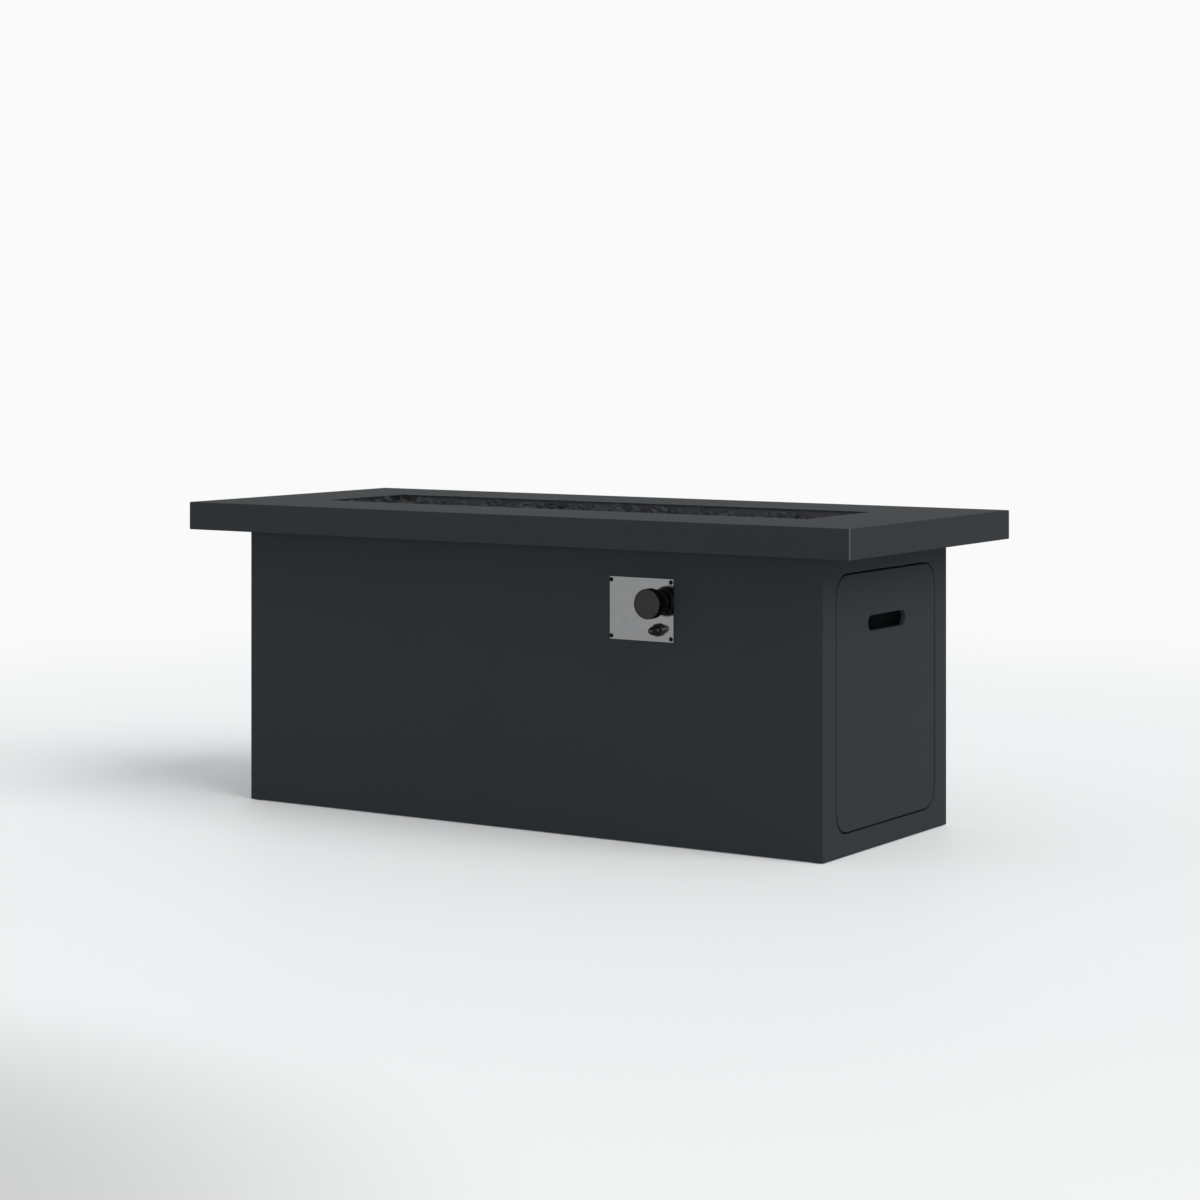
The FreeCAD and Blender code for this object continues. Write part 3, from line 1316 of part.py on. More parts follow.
def rock(low, high, seed):
    """One angular rock that fills a box: twenty flat faces on twelve corners pushed in and out."""
    corners = []
    for a, b in ((1, GOLDEN), (-1, GOLDEN), (1, -GOLDEN), (-1, -GOLDEN)):
        corners += [Vector(0, a, b), Vector(a, b, 0), Vector(b, 0, a)]
    axis = Vector(scatter(seed) - 0.5, scatter(seed + 0.3) - 0.5, 0.6)
    turn = Rotation(axis, 360 * scatter(seed + 0.7))
    pushed = []
    for i, corner in enumerate(corners):
        pushed.append(turn.multVec(corner * (0.74 + 0.26 * scatter(seed * 31 + i))))
    box = Part.makePolygon(pushed).BoundBox
    points = []
    for spot in pushed:
        from_corner = (spot.x - box.XMin, spot.y - box.YMin, spot.z - box.ZMin)
        share = [reach / full for reach, full in zip(from_corner, (box.XLength, box.YLength, box.ZLength))]
        points.append(Vector(*[low[i] + (high[i] - low[i]) * share[i] for i in range(3)]))
    neighbour = 2.1
    faces = []
    for i in range(12):
        for j in range(i + 1, 12):
            for k in range(j + 1, 12):
                sides = (corners[i] - corners[j], corners[j] - corners[k], corners[k] - corners[i])
                if max(side.Length for side in sides) < neighbour:
                    faces.append(Part.Face(Part.makePolygon([points[n] for n in (i, j, k, i)])))
    solid = Part.Solid(Part.Shell(faces))
    if solid.Volume < 0:
        solid.reverse()
    return solid


def rock_in_cell(middle, spans, low, high, seed):
    """A rock somewhat smaller than its cell, pushed about inside it."""
    lows = []
    highs = []
    for i in range(2):
        width = spans[i] * (0.86 + 0.13 * scatter(seed + 7 * i + 0.1))
        slack = spans[i] * 0.99 - width
        start = middle[i] - spans[i] / 2 + slack * scatter(seed + 7 * i + 0.6)
        lows.append(start)
        highs.append(start + width)
    return rock(lows + [low], highs + [high], seed)


def make_lava_rock():
    """Loose lava rock in two layers: one on the pan's floor beside the burner's tubes, one over them."""
    floor = number(PAN_FLOOR)
    layer_top = number(BURNER_MID) + number("burner_tube") / 2 + 2
    half_x = number("pan_length") / 2 - 1
    half_y = number("pan_width") / 2 - 1
    stand_x = number(STAND_X)
    rocks = []
    seed = 0
    lower_pitch = 52
    for lane in (-104, -24, 24, 104):
        for column in range(22):
            seed += 1
            x = (column - 10.5) * lower_pitch
            by_stand = abs(abs(x) - stand_x) < lower_pitch / 2 + 11
            by_wires = lane == -104 and 16 < x < 134
            by_inlet = abs(lane) < 50 and abs(x) < 40
            if not (by_stand or by_wires or by_inlet):
                rocks.append(rock_in_cell((x, lane), (lower_pitch, 47), floor, layer_top, seed))
    pitch_x = number("rock_pitch_x")
    pitch_y = number("rock_pitch_y")
    columns = int(2 * half_x / pitch_x)
    rows = int(2 * half_y / pitch_y)
    peak = number("rock_peak")
    for column in range(columns):
        for row in range(rows):
            seed += 1
            x = (column - (columns - 1) / 2) * pitch_x
            y = (row - (rows - 1) / 2) * pitch_y
            by_wires = y < -60 and 16 < x < 134
            low = layer_top + (9 if by_wires else 0.5)
            high = peak - ROCK_VARIATION * scatter(seed + 500)
            if row in (0, rows - 1) or column in (0, columns - 1):
                high = min(high, number(TOP_UNDERSIDE) - 2)
            rocks.append(rock_in_cell((x, y), (pitch_x, pitch_y), low, high, seed))
    print("rocks: %d" % len(rocks))
    made("lava_rock", Part.makeCompound(rocks))


make_tabletop()
make_top_rails()
make_top_bolts()
make_front_panel()
make_back_panel()
make_end_panel("left_end_panel", -1)
make_right_end_panel()
make_posts()
make_glide_feet()
make_base_rails()
make_floor_panel()
make_tank_ring()
make_burner_pan()
make_pan_fixings()
make_burner()
make_burner_stands()
make_burner_lock_nut()
make_heat_shield()
make_shield_standoffs()
make_flame_bracket()
make_electrode()
make_air_mixer()
make_orifice_fitting()
make_gas_pipe()
make_pipe_nuts()
make_valve_body()
make_valve_bonnet()
make_valve_screws()
make_valve_plug()
make_valve_stem()
make_thrust_washer()
make_valve_spring()
make_valve_bracket()
make_inlet_fitting()
make_knob()
make_control_plate()
make_plate_screws()
make_igniter_body()
make_igniter_nut()
make_igniter_button()
make_igniter_spring()
make_ignition_lead()
make_flame_probe()
make_access_door()
make_door_pegs()
make_sill_brackets()
make_peg_sockets()
make_catch_brackets()
make_catch_magnets()
make_lava_rock()

doc.recompute()
for item in doc.Objects:
    if "Invalid" in item.State or "Error" in item.State:
        raise RuntimeError("%s did not build: %s" % (item.Label, item.State))
for item in FINISHED:
    if item.Shape.isNull() or not item.Shape.isValid():
        raise RuntimeError("%s has no valid shape" % item.Label)
for item in FINISHED:
    item.Shape.exportStep("parts/%s.step" % item.Label)
print("sub-parts written: %d" % len(FINISHED))
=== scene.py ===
import json
import math
import random

import bpy
from mathutils import Matrix, Vector


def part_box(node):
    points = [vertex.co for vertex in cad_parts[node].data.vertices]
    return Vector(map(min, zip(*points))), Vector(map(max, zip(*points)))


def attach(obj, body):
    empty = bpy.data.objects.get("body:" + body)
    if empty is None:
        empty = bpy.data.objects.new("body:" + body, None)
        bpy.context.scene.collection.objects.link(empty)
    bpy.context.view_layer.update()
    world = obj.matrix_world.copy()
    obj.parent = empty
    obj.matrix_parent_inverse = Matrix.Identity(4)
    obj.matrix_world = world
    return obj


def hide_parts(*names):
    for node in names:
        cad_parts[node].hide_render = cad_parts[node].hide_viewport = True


# Gas fire pit table: charcoal powder-coated top and cabinet, a stainless control
# plate with a black knob and push button, and a long bed of lava rock.
# Metres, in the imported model's own frame.

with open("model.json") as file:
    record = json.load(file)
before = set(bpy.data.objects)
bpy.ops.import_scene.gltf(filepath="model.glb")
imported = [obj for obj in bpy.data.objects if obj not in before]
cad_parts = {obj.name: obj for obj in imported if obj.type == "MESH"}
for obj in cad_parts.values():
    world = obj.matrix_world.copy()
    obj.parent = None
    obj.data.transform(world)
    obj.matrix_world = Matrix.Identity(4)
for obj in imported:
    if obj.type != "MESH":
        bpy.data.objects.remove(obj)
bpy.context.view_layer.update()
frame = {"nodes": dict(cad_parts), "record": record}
MM = 0.001


# Camera, floor and light

CAMERA_PLACE = (3.1254, -4.7663, 0.9449)
CAMERA_TURN = math.radians(33.04)
LENS_MM = 85.73
SENSOR_MM = 36
FRAME_SHIFT = -0.2184

BACKDROP = "FAFAFA"
SKY_TINT = "F4F7FA"
SKY_STRENGTH = 0.49
KEY_STRENGTH = 1.95
KEY_FROM = (0.75, -0.06, 0.66)
KEY_WIDTH = math.radians(45)
FILL_STRENGTH = 1.18
FILL_FROM = (0.52, -0.85, 0.055)
FILL_WIDTH = math.radians(14)

FLOOR_SIZE = 60
FLOOR_PAINT = "FBFCFC"
# plain backdrop takes this share of the floor out to the first radius, and all of it past the second
NEAR_SHARE = 0.12
PAINT_RADIUS = 1.6
BACKDROP_RADIUS = 4.2
# a soft spot of painted shade on the floor, between the camera and the table's left half
PAINTED_SHADE_SPOT = (0.435, -2.992, 0)
PAINTED_SHADE_STRENGTH = 0.68
PAINTED_SHADE_RADIUS = 0.59
PAINTED_SHADE_EDGE_RADIUS = 1.29

# the Mix node's colour sockets, which share their names with its number sockets
COLOUR_A = 6
COLOUR_B = 7
COLOUR_OUT = 2


def make_camera():
    """Level camera off the front right corner, as high as the photograph's."""
    bpy.ops.object.camera_add(location=CAMERA_PLACE, rotation=(math.pi / 2, 0, CAMERA_TURN))
    camera = bpy.context.object
    camera.data.lens = LENS_MM
    camera.data.sensor_width = SENSOR_MM
    camera.data.shift_y = FRAME_SHIFT
    bpy.context.scene.camera = camera
    bpy.context.scene.view_settings.view_transform = "Standard"


def linear(code):
    """The linear colour of an sRGB hex value."""
    channels = []
    for start in (0, 2, 4):
        value = int(code[start:start + 2], 16) / 255
        channels.append(value / 12.92 if value <= 0.04045 else ((value + 0.055) / 1.055) ** 2.4)
    return (*channels, 1.0)


def per(size_mm):
    """The scale of a pattern whose grains are this many millimetres across."""
    return 1 / (size_mm * MM)


def add(tree, kind, settings=None, values=None, links=None):
    """Add a shader node with its settings, socket values and incoming links."""
    node = tree.nodes.new(kind)
    for name, setting in (settings or {}).items():
        setattr(node, name, setting)
    for name, value in (values or {}).items():
        node.inputs[name].default_value = value
    for name, source in (links or {}).items():
        tree.links.new(source, node.inputs[name])
    return node


def new_material(name):
    """An empty material, and the node tree to fill."""
    material = bpy.data.materials.new(name)
    material.use_nodes = True
    material.node_tree.nodes.clear()
    return material, material.node_tree


def object_place(tree):
    """Where a point lies on its piece, for patterns that stay on it."""
    return add(tree, "ShaderNodeTexCoord").outputs["Object"]


def close(tree, shader):
    """Make this shader the material's surface."""
    add(tree, "ShaderNodeOutputMaterial", links={"Surface": shader.outputs[0]})


def seen_directly(tree):
    """One where the camera or a reflection looks straight at the backdrop, otherwise nought."""
    rays = add(tree, "ShaderNodeLightPath")
    return add(tree, "ShaderNodeMath", {"operation": "MAXIMUM"}, links={
        0: rays.outputs["Is Camera Ray"], 1: rays.outputs["Is Glossy Ray"]}).outputs[0]


def make_world():
    """An even, faintly cool sky that looks nearly white."""
    world = bpy.data.worlds.new("studio")
    world.use_nodes = True
    tree = world.node_tree
    tree.nodes.clear()
    sky = add(tree, "ShaderNodeBackground", values={"Color": linear(SKY_TINT), "Strength": SKY_STRENGTH})
    pale = add(tree, "ShaderNodeBackground", values={"Color": linear(BACKDROP), "Strength": 1.0})
    light = add(tree, "ShaderNodeMixShader", links={
        0: seen_directly(tree), 1: sky.outputs[0], 2: pale.outputs[0]})
    add(tree, "ShaderNodeOutputWorld", links={"Surface": light.outputs[0]})
    bpy.context.scene.world = world


def make_floor():
    """Pale floor that keeps the table's shadow.

    It glows faintly, turns to plain backdrop further out, and has one soft spot of painted shade.
    """
    bpy.ops.mesh.primitive_plane_add(size=FLOOR_SIZE, location=(0, 0, 0))
    floor = bpy.context.object
    floor.name = "studio_floor"
    material, tree = new_material("pale_floor")
    place = object_place(tree)
    seen = seen_directly(tree)
    aside = add(tree, "ShaderNodeVectorMath", {"operation": "DISTANCE"}, {1: PAINTED_SHADE_SPOT}, {0: place})
    # painted shade: around the spot the floor is darkened, in its paint as seen and in its glow
    painted_shade = add(tree, "ShaderNodeMapRange", {"interpolation_type": "SMOOTHSTEP"}, {
        "From Min": PAINTED_SHADE_RADIUS, "From Max": PAINTED_SHADE_EDGE_RADIUS, "To Min": PAINTED_SHADE_STRENGTH, "To Max": 1.0}, {
        "Value": aside.outputs["Value"]})
    shade = add(tree, "ShaderNodeMapRange", values={"To Min": 1.0}, links={
        "Value": seen, "To Max": painted_shade.outputs[0]})
    colour = add(tree, "ShaderNodeMix", {"data_type": "RGBA", "blend_type": "MULTIPLY"}, {
        "Factor": 1.0, COLOUR_A: linear(FLOOR_PAINT)}, {COLOUR_B: shade.outputs[0]})
    paint = add(tree, "ShaderNodeBsdfPrincipled", values={"Roughness": 0.6, "Specular IOR Level": 0.2}, links={
        "Base Color": colour.outputs[COLOUR_OUT]})
    pale = add(tree, "ShaderNodeEmission", values={"Color": linear(BACKDROP)}, links={
        "Strength": painted_shade.outputs[0]})
    away = add(tree, "ShaderNodeVectorMath", {"operation": "LENGTH"}, links={0: place})
    far = add(tree, "ShaderNodeMapRange", {"interpolation_type": "SMOOTHSTEP"}, {
        "From Min": PAINT_RADIUS, "From Max": BACKDROP_RADIUS, "To Min": NEAR_SHARE}, {
        "Value": away.outputs["Value"]})
    share = add(tree, "ShaderNodeMath", {"operation": "MULTIPLY"}, links={0: far.outputs[0], 1: seen})
    close(tree, add(tree, "ShaderNodeMixShader", links={
        0: share.outputs[0], 1: paint.outputs[0], 2: pale.outputs[0]}))
    floor.data.materials.append(material)


def make_lamps():
    """A broad key from the door end, forty degrees up, and a fill so low that it reaches under the top."""
    bpy.ops.object.light_add(type="SUN", location=(3, 0, 3))
    key = bpy.context.object
    key.name = "key"
    key.data.energy = KEY_STRENGTH
    key.data.angle = KEY_WIDTH
    key.rotation_euler = Vector(KEY_FROM).to_track_quat("Z", "Y").to_euler()
    bpy.ops.object.light_add(type="SUN", location=(3, -2, 1))
    fill = bpy.context.object
    fill.name = "corner_fill"
    fill.data.energy = FILL_STRENGTH
    fill.data.angle = FILL_WIDTH
    fill.rotation_euler = Vector(FILL_FROM).to_track_quat("Z", "Y").to_euler()


# Materials

# width of the highlight painted on the top's upright corners
PAINTED_HIGHLIGHT_WIDTH = 2 * MM
# pebbled skin 0.9 mm across, drawn at 1.6 mm so that it shows
PEBBLE_MM = 1.6
PEBBLE_DEPTH = 0.12 * MM
# clouds in the coat from uneven spraying
SPRAY_CLOUD_MM = 240
THIN_COAT_MOTTLE_MM = 30
METAL_MOTTLE_MM = 25
# brushing scratches 0.1 mm wide, drawn at 1.2 and 1.5 mm so that they show, and this much shorter across than along
BRUSHED_MM = 1.2
MILLED_MM = 1.5
ALONG_X = (0.03, 1, 1)
# eroded mould grain 0.1 mm across, drawn at 0.6 mm so that it shows
MOULD_GRAIN_MM = 0.6
MOULD_GRAIN_DEPTH = 0.05 * MM
KNOB_FACE_DEPTH = 0.9 * MM
GAS_BUBBLE_MM = 4.5
GRIT_MM = 2.2
STONE_TONE_MM = 60
LAVA_RELIEF = 1.6 * MM


def painted_corner_highlight(tree, place):
    """One on the upright corners of the top, where a highlight is painted in a lighter colour, otherwise nought."""
    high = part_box("tabletop")[1]
    apart = add(tree, "ShaderNodeVectorMath", {"operation": "ABSOLUTE"}, links={0: place})
    sides = add(tree, "ShaderNodeSeparateXYZ", links={0: apart.outputs[0]})
    at_end = add(tree, "ShaderNodeMath", {"operation": "GREATER_THAN"}, {1: high.x - PAINTED_HIGHLIGHT_WIDTH}, {
        0: sides.outputs["X"]})
    at_side = add(tree, "ShaderNodeMath", {"operation": "GREATER_THAN"}, {1: high.y - PAINTED_HIGHLIGHT_WIDTH}, {
        0: sides.outputs["Y"]})
    return add(tree, "ShaderNodeMath", {"operation": "MULTIPLY"}, links={
        0: at_end.outputs[0], 1: at_side.outputs[0]}).outputs[0]


def powder_coat():
    """Baked polyester powder on steel: matt, with a fine pebbled skin that softens every highlight, and a highlight
    painted lighter on the top's upright corners.
    """
    material, tree = new_material("charcoal_powder_coat")
    place = object_place(tree)
    pebble = add(tree, "ShaderNodeTexNoise", values={"Scale": per(PEBBLE_MM), "Detail": 2.0}, links={
        "Vector": place})
    cloud = add(tree, "ShaderNodeTexNoise", values={"Scale": per(SPRAY_CLOUD_MM), "Detail": 3.0}, links={
        "Vector": place})
    tone = add(tree, "ShaderNodeMapRange", values={"To Min": 0.96, "To Max": 1.04}, links={
        "Value": cloud.outputs["Fac"]})
    coat = add(tree, "ShaderNodeMix", {"data_type": "RGBA", "blend_type": "MULTIPLY"}, {
        "Factor": 1.0, COLOUR_A: linear("272B2E")}, {COLOUR_B: tone.outputs[0]})
    # painted highlight: the top's upright corners are coloured lighter than the rest of the coat
    colour = add(tree, "ShaderNodeMix", {"data_type": "RGBA"}, {COLOUR_B: linear("474C50")}, {
        "Factor": painted_corner_highlight(tree, place), COLOUR_A: coat.outputs[COLOUR_OUT]})
    bump = add(tree, "ShaderNodeBump", values={"Strength": 0.18, "Distance": PEBBLE_DEPTH}, links={
        "Height": pebble.outputs["Fac"]})
    shader = add(tree, "ShaderNodeBsdfPrincipled", values={
        "Roughness": 0.8, "Specular IOR Level": 0.13}, links={
        "Base Color": colour.outputs[COLOUR_OUT], "Normal": bump.outputs[0]})
    close(tree, shader)
    return material


def thin_coat(name, code, roughness, specular=0.5):
    """A thin black coat, primer or oxide: no skin of its own, only a faint mottle."""
    material, tree = new_material(name)
    cloud = add(tree, "ShaderNodeTexNoise", values={"Scale": per(THIN_COAT_MOTTLE_MM), "Detail": 3.0}, links={
        "Vector": object_place(tree)})
    tone = add(tree, "ShaderNodeMapRange", values={"To Min": 0.85, "To Max": 1.15}, links={
        "Value": cloud.outputs["Fac"]})
    colour = add(tree, "ShaderNodeMix", {"data_type": "RGBA", "blend_type": "MULTIPLY"}, {
        "Factor": 1.0, COLOUR_A: linear(code)}, {COLOUR_B: tone.outputs[0]})
    shader = add(tree, "ShaderNodeBsdfPrincipled", values={
        "Roughness": roughness, "Specular IOR Level": specular}, links={"Base Color": colour.outputs[COLOUR_OUT]})
    close(tree, shader)
    return material


def metal(name, code, roughness, grain_mm=None, stretch=(1, 1, 1), grain_depth=0.03):
    """Bare metal: a mottled tone, and grain drawn out along the brushing where it is brushed."""
    material, tree = new_material(name)
    place = object_place(tree)
    cloud = add(tree, "ShaderNodeTexNoise", values={"Scale": per(METAL_MOTTLE_MM), "Detail": 4.0}, links={
        "Vector": place})
    tone = add(tree, "ShaderNodeMapRange", values={"To Min": 0.88, "To Max": 1.08}, links={
        "Value": cloud.outputs["Fac"]})
    colour = add(tree, "ShaderNodeMix", {"data_type": "RGBA", "blend_type": "MULTIPLY"}, {
        "Factor": 1.0, COLOUR_A: linear(code)}, {COLOUR_B: tone.outputs[0]})
    shader = add(tree, "ShaderNodeBsdfPrincipled", values={"Metallic": 1.0, "Roughness": roughness}, links={
        "Base Color": colour.outputs[COLOUR_OUT]})
    if grain_mm:
        drawn = add(tree, "ShaderNodeMapping", values={"Scale": stretch}, links={"Vector": place})
        grain = add(tree, "ShaderNodeTexNoise", values={"Scale": per(grain_mm), "Detail": 3.0}, links={
            "Vector": drawn.outputs[0]})
        bump = add(tree, "ShaderNodeBump", values={"Strength": 0.5, "Distance": grain_depth * MM}, links={
            "Height": grain.outputs["Fac"]})
        tree.links.new(bump.outputs[0], shader.inputs["Normal"])
    close(tree, shader)
    return material


def mould_grain(tree, place):
    """The fine spark-eroded grain that a mould leaves on plastic or rubber."""
    grain = add(tree, "ShaderNodeTexNoise", values={"Scale": per(MOULD_GRAIN_MM), "Detail": 2.0}, links={
        "Vector": place})
    return add(tree, "ShaderNodeBump", values={"Strength": 0.2, "Distance": MOULD_GRAIN_DEPTH}, links={
        "Height": grain.outputs["Fac"]}).outputs[0]


def moulded(name, code, roughness, specular=0.5):
    """Moulded plastic, rubber or ceramic: one colour through and through, under the mould's grain."""
    material, tree = new_material(name)
    shader = add(tree, "ShaderNodeBsdfPrincipled", values={
        "Base Color": linear(code), "Roughness": roughness, "Specular IOR Level": specular}, links={
        "Normal": mould_grain(tree, object_place(tree))})
    close(tree, shader)
    return material


def knob_moulding():
    """Moulded phenolic: the blasted face scatters more light than the polished, fluted side. The face is coloured
    paler than the side, partly its own matt tone and partly painted shade on the fluted side.
    """
    material, tree = new_material("phenolic")
    place = object_place(tree)
    depth = add(tree, "ShaderNodeSeparateXYZ", links={0: place}).outputs["Y"]
    face_y = min(vertex.co.y for vertex in frame["nodes"]["knob"].data.vertices) + KNOB_FACE_DEPTH
    face = add(tree, "ShaderNodeMath", {"operation": "LESS_THAN"}, {1: face_y}, {0: depth})
    # partly painted shade: the fluted side is coloured darker than the face
    colour = add(tree, "ShaderNodeMix", {"data_type": "RGBA"}, {
        COLOUR_A: linear("040404"), COLOUR_B: linear("161616")}, {"Factor": face.outputs[0]})
    gloss = add(tree, "ShaderNodeMapRange", values={"To Min": 0.08, "To Max": 0.35}, links={
        "Value": face.outputs[0]})
    shader = add(tree, "ShaderNodeBsdfPrincipled", values={"Roughness": 0.6}, links={
        "Base Color": colour.outputs[COLOUR_OUT], "Specular IOR Level": gloss.outputs[0],
        "Normal": mould_grain(tree, place)})
    close(tree, shader)
    return material


def lava():
    """Vesicular basalt: nearly black, rough and pitted with gas bubbles, with painted shade darkening its bubble
    pits and a painted highlight paling its high points.
    """
    material, tree = new_material("lava_basalt")
    place = object_place(tree)
    pits = add(tree, "ShaderNodeTexVoronoi", values={"Scale": per(GAS_BUBBLE_MM)}, links={"Vector": place})
    pit_floor = add(tree, "ShaderNodeMapRange", values={"From Max": 0.42}, links={
        "Value": pits.outputs["Distance"]})
    grit = add(tree, "ShaderNodeTexNoise", values={"Scale": per(GRIT_MM), "Detail": 6.0, "Roughness": 0.7}, links={
        "Vector": place})
    stone = add(tree, "ShaderNodeTexNoise", values={"Scale": per(STONE_TONE_MM), "Detail": 2.0}, links={
        "Vector": place})
    relief = add(tree, "ShaderNodeMath", {"operation": "MULTIPLY_ADD"}, {1: 0.6}, {
        0: grit.outputs["Fac"], 2: pit_floor.outputs[0]})
    # painted shade and highlight: colour follows the relief, darker down in the bubble pits and paler on the high
    # points
    painted_shade_and_highlight = add(tree, "ShaderNodeValToRGB", links={"Fac": relief.outputs[0]})
    painted_shade_and_highlight.color_ramp.elements[0].position = 0.25
    painted_shade_and_highlight.color_ramp.elements[0].color = linear("0A0B0C")
    painted_shade_and_highlight.color_ramp.elements[1].color = linear("2B2E31")
    tone = add(tree, "ShaderNodeMapRange", values={
        "From Min": 0.3, "From Max": 0.7, "To Min": 0.6, "To Max": 1.5}, links={"Value": stone.outputs["Fac"]})
    colour = add(tree, "ShaderNodeMix", {"data_type": "RGBA", "blend_type": "MULTIPLY"}, {"Factor": 1.0}, {
        COLOUR_A: painted_shade_and_highlight.outputs[0], COLOUR_B: tone.outputs[0]})
    bump = add(tree, "ShaderNodeBump", values={"Strength": 0.9, "Distance": LAVA_RELIEF}, links={
        "Height": relief.outputs[0]})
    shader = add(tree, "ShaderNodeBsdfPrincipled", values={"Roughness": 0.9, "Specular IOR Level": 0.12}, links={
        "Base Color": colour.outputs[COLOUR_OUT], "Normal": bump.outputs[0]})
    close(tree, shader)
    return material


def dress_nodes():
    """Give every CAD node the finish of its material slot, and return the finishes by slot."""
    finishes = {
        "powder_coat": powder_coat(),
        # welded tube under a quick primer: dark and dull
        "frame_coat": thin_coat("black_primer", "26282A", 0.6),
        # zinc-dipped sheet: pale grey, blurred reflections
        "galvanised": metal("galvanised_sheet", "A9ACAE", 0.42),
        # belt-brushed sheet: clear, slightly streaked reflections along its length
        "stainless": metal("brushed_stainless", "8A8B8C", 0.13, BRUSHED_MM, ALONG_X, 0.004),
        # mill-finish sheet and tube dulled by the flames: dark and nearly matt
        "stainless_pan": metal("heat_dulled_stainless", "5A5B5D", 0.5, MILLED_MM, ALONG_X),
        # bright plating on springs and fasteners: small, hard highlights
        "zinc": metal("zinc_plate", "C9CBCD", 0.32),
        # oxide-blacked steel: black, with hardly any shine
        "black_screw": thin_coat("black_oxide", "080808", 0.5, 0.12),
        # turned gas fittings: warm yellow and glossy
        "brass": metal("turned_brass", "C9A860", 0.28),
        # drawn tube: pale and satin
        "aluminium": metal("drawn_aluminium", "D0D1D3", 0.34),
        # drawn sensing tube: reddish and glossy
        "copper": metal("drawn_copper", "B87A55", 0.3),
        "knob_plastic": knob_moulding(),
        # satin black button and collar
        "igniter_plastic": moulded("nylon", "0B0B0C", 0.4, 0.35),
        # waxy black pads
        "foot_plastic": moulded("polyethylene", "17181A", 0.6),
        # dark grey case of the door's magnets
        "magnet_case": moulded("magnet_housing", "3A3B3D", 0.5),
        # dull black sockets for the door's pegs
        "rubber": moulded("black_rubber", "151515", 0.75),
        # dull red sleeve on the ignition lead
        "silicone": moulded("silicone_sleeve", "8A2C22", 0.6),
        # ivory, glazed insulator
        "ceramic": moulded("alumina", "EDE8DC", 0.35),
        "lava": lava(),
    }
    for row in frame["record"]["subparts"]:
        piece = frame["nodes"][row["node"]]
        piece.data.materials.clear()
        piece.data.materials.append(finishes[row["material_slot"]])
    return finishes


# Lava rock

BED_X = 571 * MM
BED_Y = 134 * MM
BED_FLOOR = 545.2 * MM
# side of the squares that the pan is sorted into
CELL = 50 * MM
# broken stones settle this much closer than balls would
NESTING = 0.84

# the burner's two long tubes and its cross tube, as rows of balls this many millimetres apart
TUBES = (-60 * MM, 60 * MM)
TUBE_RADIUS = 10 * MM
TUBE_HEIGHT = 562.7 * MM
TUBE_STEP = 10
LONG_TUBE_STEPS = 50
CROSS_TUBE_STEPS = 5
ELECTRODE_RADIUS = 12 * MM
ELECTRODE_DROP = 8 * MM

# the bed sinks by some millimetres at the door end and is heaped by some in the far corner
DOOR_END_FALL = 11
FALL_START = 390 * MM
FALL_LENGTH = 60 * MM
FAR_HEAP = 3
HEAP_END = -480 * MM
HEAP_SIDE = 55 * MM

# half the width of the strip over each tube that its covering stones fall in
LANE = 6 * MM
# smallest and largest radius in mm, how high they may stand in mm, places tried for each, misses allowed, lanes
POURS = (
    ((8, 11), 595, 1, 150, TUBES),
    ((14, 22), 601, 24, 40, None),
    ((10, 15), 605, 24, 60, None),
    ((8, 12), 609, 3, 160, None),
)

STONE_SHAPES = 9
CHIPS = 9
CHIP_DEPTHS = (0.55, 0.9)
CORNER_PUSH = 0.16
FLAT_ANGLE = math.radians(26)
SHORTEST_EDGE = 0.15
chooser = random.Random(41)


def deselect():
    """Leave nothing selected, because an operator acts on all that is."""
    bpy.ops.object.select_all(action="DESELECT")


def chip(direction, depth):
    """Knock one flat off the stone in edit mode."""
    bpy.ops.mesh.select_all(action="SELECT")
    bpy.ops.mesh.bisect(
        plane_co=direction * depth, plane_no=direction, use_fill=True, clear_outer=True)


def make_stone_shape(index):
    """One broken stone about two units across: a ball with its corners pushed about and flats knocked off."""
    deselect()
    bpy.ops.mesh.primitive_ico_sphere_add(subdivisions=2, radius=1, location=(0, 0, 0))
    stone = bpy.context.object
    bpy.ops.object.mode_set(mode="EDIT")
    bpy.ops.transform.vertex_random(offset=CORNER_PUSH, uniform=0.4, normal=0.3, seed=index)
    for _ in range(CHIPS):
        direction = Vector((chooser.gauss(0, 1), chooser.gauss(0, 1), chooser.gauss(0, 1))).normalized()
        chip(direction, chooser.uniform(*CHIP_DEPTHS))
    bpy.ops.mesh.select_all(action="SELECT")
    bpy.ops.mesh.dissolve_limited(angle_limit=FLAT_ANGLE)
    bpy.ops.mesh.remove_doubles(threshold=SHORTEST_EDGE)
    bpy.ops.mesh.quads_convert_to_tris()
    bpy.ops.mesh.normals_make_consistent(inside=False)
    bpy.ops.object.mode_set(mode="OBJECT")
    return stone


def drop_in(bed, x, y, z, radius):
    """Record a ball of the bed in the square of the pan that holds its middle."""
    bed.setdefault((round(x / CELL), round(y / CELL)), []).append((x, y, z, radius))


def rest_height(bed, x, y, radius):
    """How high a round stone's middle comes to rest at a place in the bed."""
    height = BED_FLOOR + radius
    column, row = round(x / CELL), round(y / CELL)
    for near in [(column + i, row + j) for i in (-1, 0, 1) for j in (-1, 0, 1)]:
        for other_x, other_y, other_z, other_radius in bed.get(near, ()):
            reach = (radius + other_radius) * NESTING
            gap = (x - other_x) ** 2 + (y - other_y) ** 2
            if gap < reach ** 2:
                height = max(height, other_z + math.sqrt(reach ** 2 - gap))
    return height


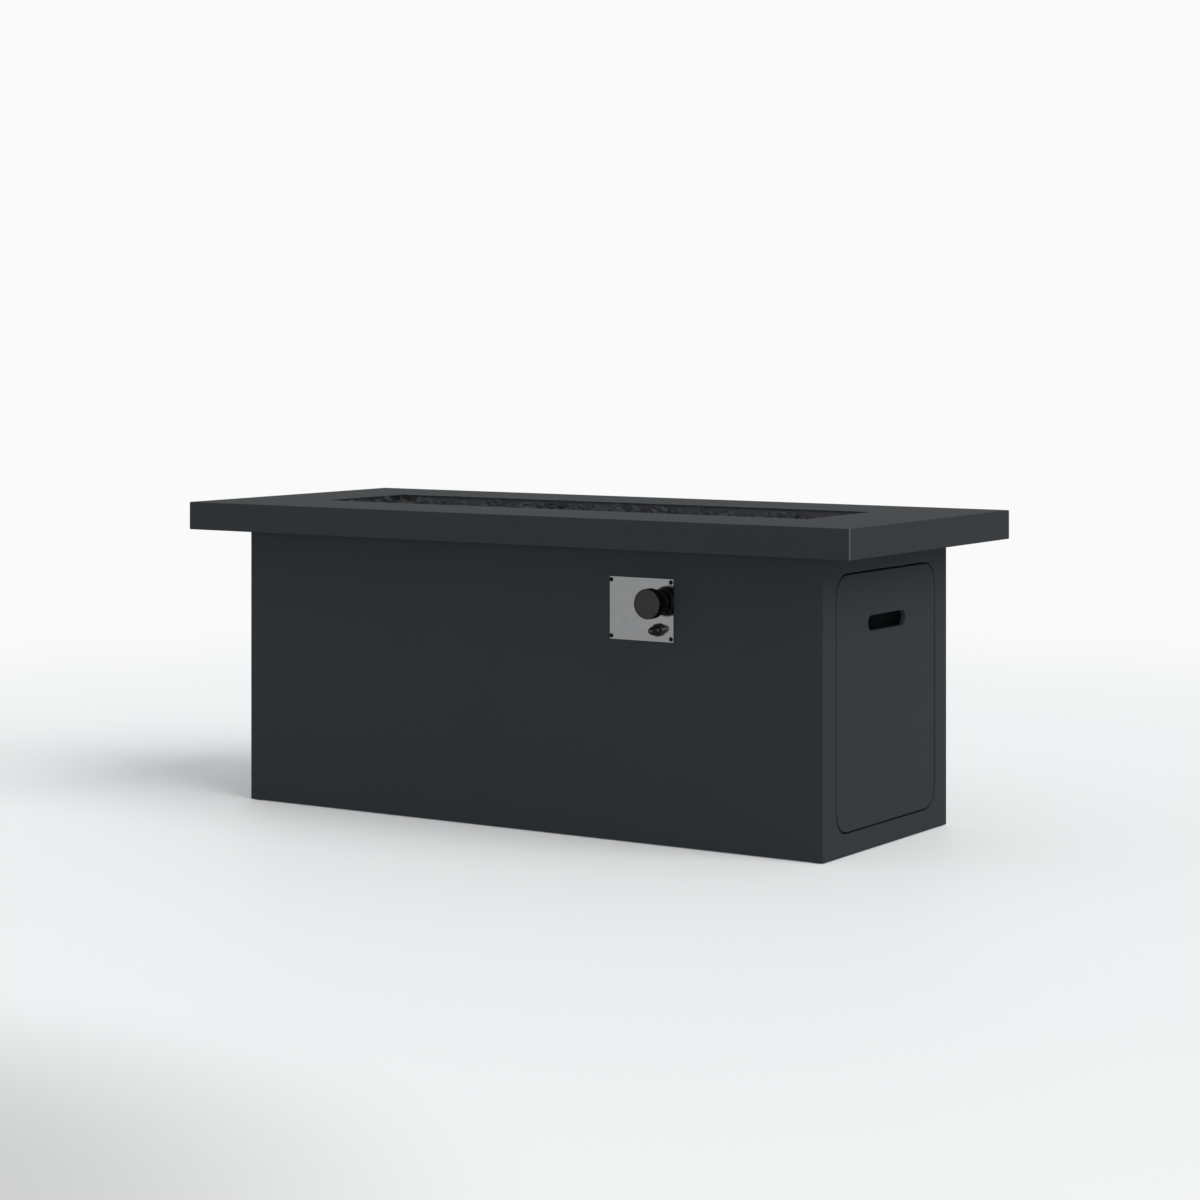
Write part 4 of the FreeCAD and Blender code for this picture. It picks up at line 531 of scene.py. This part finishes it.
def bed_top(x, y, top):
    """How high stones may stand at a place in the bed, in metres, where top is the pour's own height in mm."""
    sinking = min(1, max(0, x - FALL_START) / FALL_LENGTH)
    heaped = x < HEAP_END and y > HEAP_SIDE
    return (top - DOOR_END_FALL * sinking + FAR_HEAP * heaped) * MM


def pour(bed, stones, sizes, top, tries, patience, lanes):
    """Add stones one by one, each to the lowest of a few places, until they keep standing over the top."""
    misses = 0
    while misses < patience:
        radius = chooser.uniform(*sizes) * MM
        best = None
        for _ in range(tries):
            x = chooser.uniform(-BED_X + radius, BED_X - radius)
            y = chooser.uniform(-BED_Y + radius, BED_Y - radius)
            if lanes:
                y = chooser.choice(lanes) + chooser.uniform(-LANE, LANE)
            height = rest_height(bed, x, y, radius)
            if best is None or height - bed_top(x, y, top) < best[2] - bed_top(best[0], best[1], top):
                best = (x, y, height, radius)
        if best[2] + radius > bed_top(best[0], best[1], top):
            misses += 1
            continue
        drop_in(bed, *best)
        stones.append(best)


def settle_stones():
    """Fill the pan: stones that cover the burner's tubes, then coarse ones, then smaller ones into the gaps."""
    bed = {}
    for side in TUBES:
        for x in range(-LONG_TUBE_STEPS, LONG_TUBE_STEPS + 1):
            drop_in(bed, x * TUBE_STEP * MM, side, TUBE_HEIGHT, TUBE_RADIUS)
    for y in range(-CROSS_TUBE_STEPS, CROSS_TUBE_STEPS + 1):
        drop_in(bed, 0, y * TUBE_STEP * MM, TUBE_HEIGHT, TUBE_RADIUS)
    low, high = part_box("electrode")
    drop_in(bed, (low.x + high.x) / 2, (low.y + high.y) / 2, high.z - ELECTRODE_DROP, ELECTRODE_RADIUS)
    stones = []
    for sizes, top, tries, patience, lanes in POURS:
        pour(bed, stones, sizes, top, tries, patience, lanes)
    return stones


def make_lava_bed(finish):
    """The poured bed as one piece: copies of a few stones, each turned and stretched its own way."""
    shapes = [make_stone_shape(index) for index in range(STONE_SHAPES)]
    deselect()
    stones = []
    for x, y, z, radius in settle_stones():
        pattern = chooser.choice(shapes)
        stone = pattern.copy()
        stone.data = pattern.data.copy()
        bpy.context.collection.objects.link(stone)
        stretch = Matrix.Diagonal((
            chooser.uniform(0.9, 1.2), chooser.uniform(0.85, 1.1), chooser.uniform(0.8, 1.0), 1))
        spin = Matrix.Rotation(chooser.uniform(0, math.tau), 4, "Z")
        tumble = Matrix.Rotation(chooser.uniform(0, math.tau), 4, "X")
        stone.data.transform(spin @ tumble @ stretch)
        reach = max(abs(vertex.co.z) for vertex in stone.data.vertices)
        stone.data.transform(Matrix.Translation((x, y, z)) @ Matrix.Scale(radius / reach, 4))
        stone.select_set(True)
        stones.append(stone)
    bpy.context.view_layer.objects.active = stones[0]
    bpy.ops.object.join()
    bed = bpy.context.object
    bed.name = "lava_stones"
    bed.data.materials.clear()
    bed.data.materials.append(finish)
    for pattern in shapes:
        bpy.data.objects.remove(pattern)
    deselect()
    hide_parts("lava_rock")
    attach(bed, "table")


make_camera()
make_world()
make_floor()
make_lamps()
finishes = dress_nodes()
make_lava_bed(finishes["lava"])
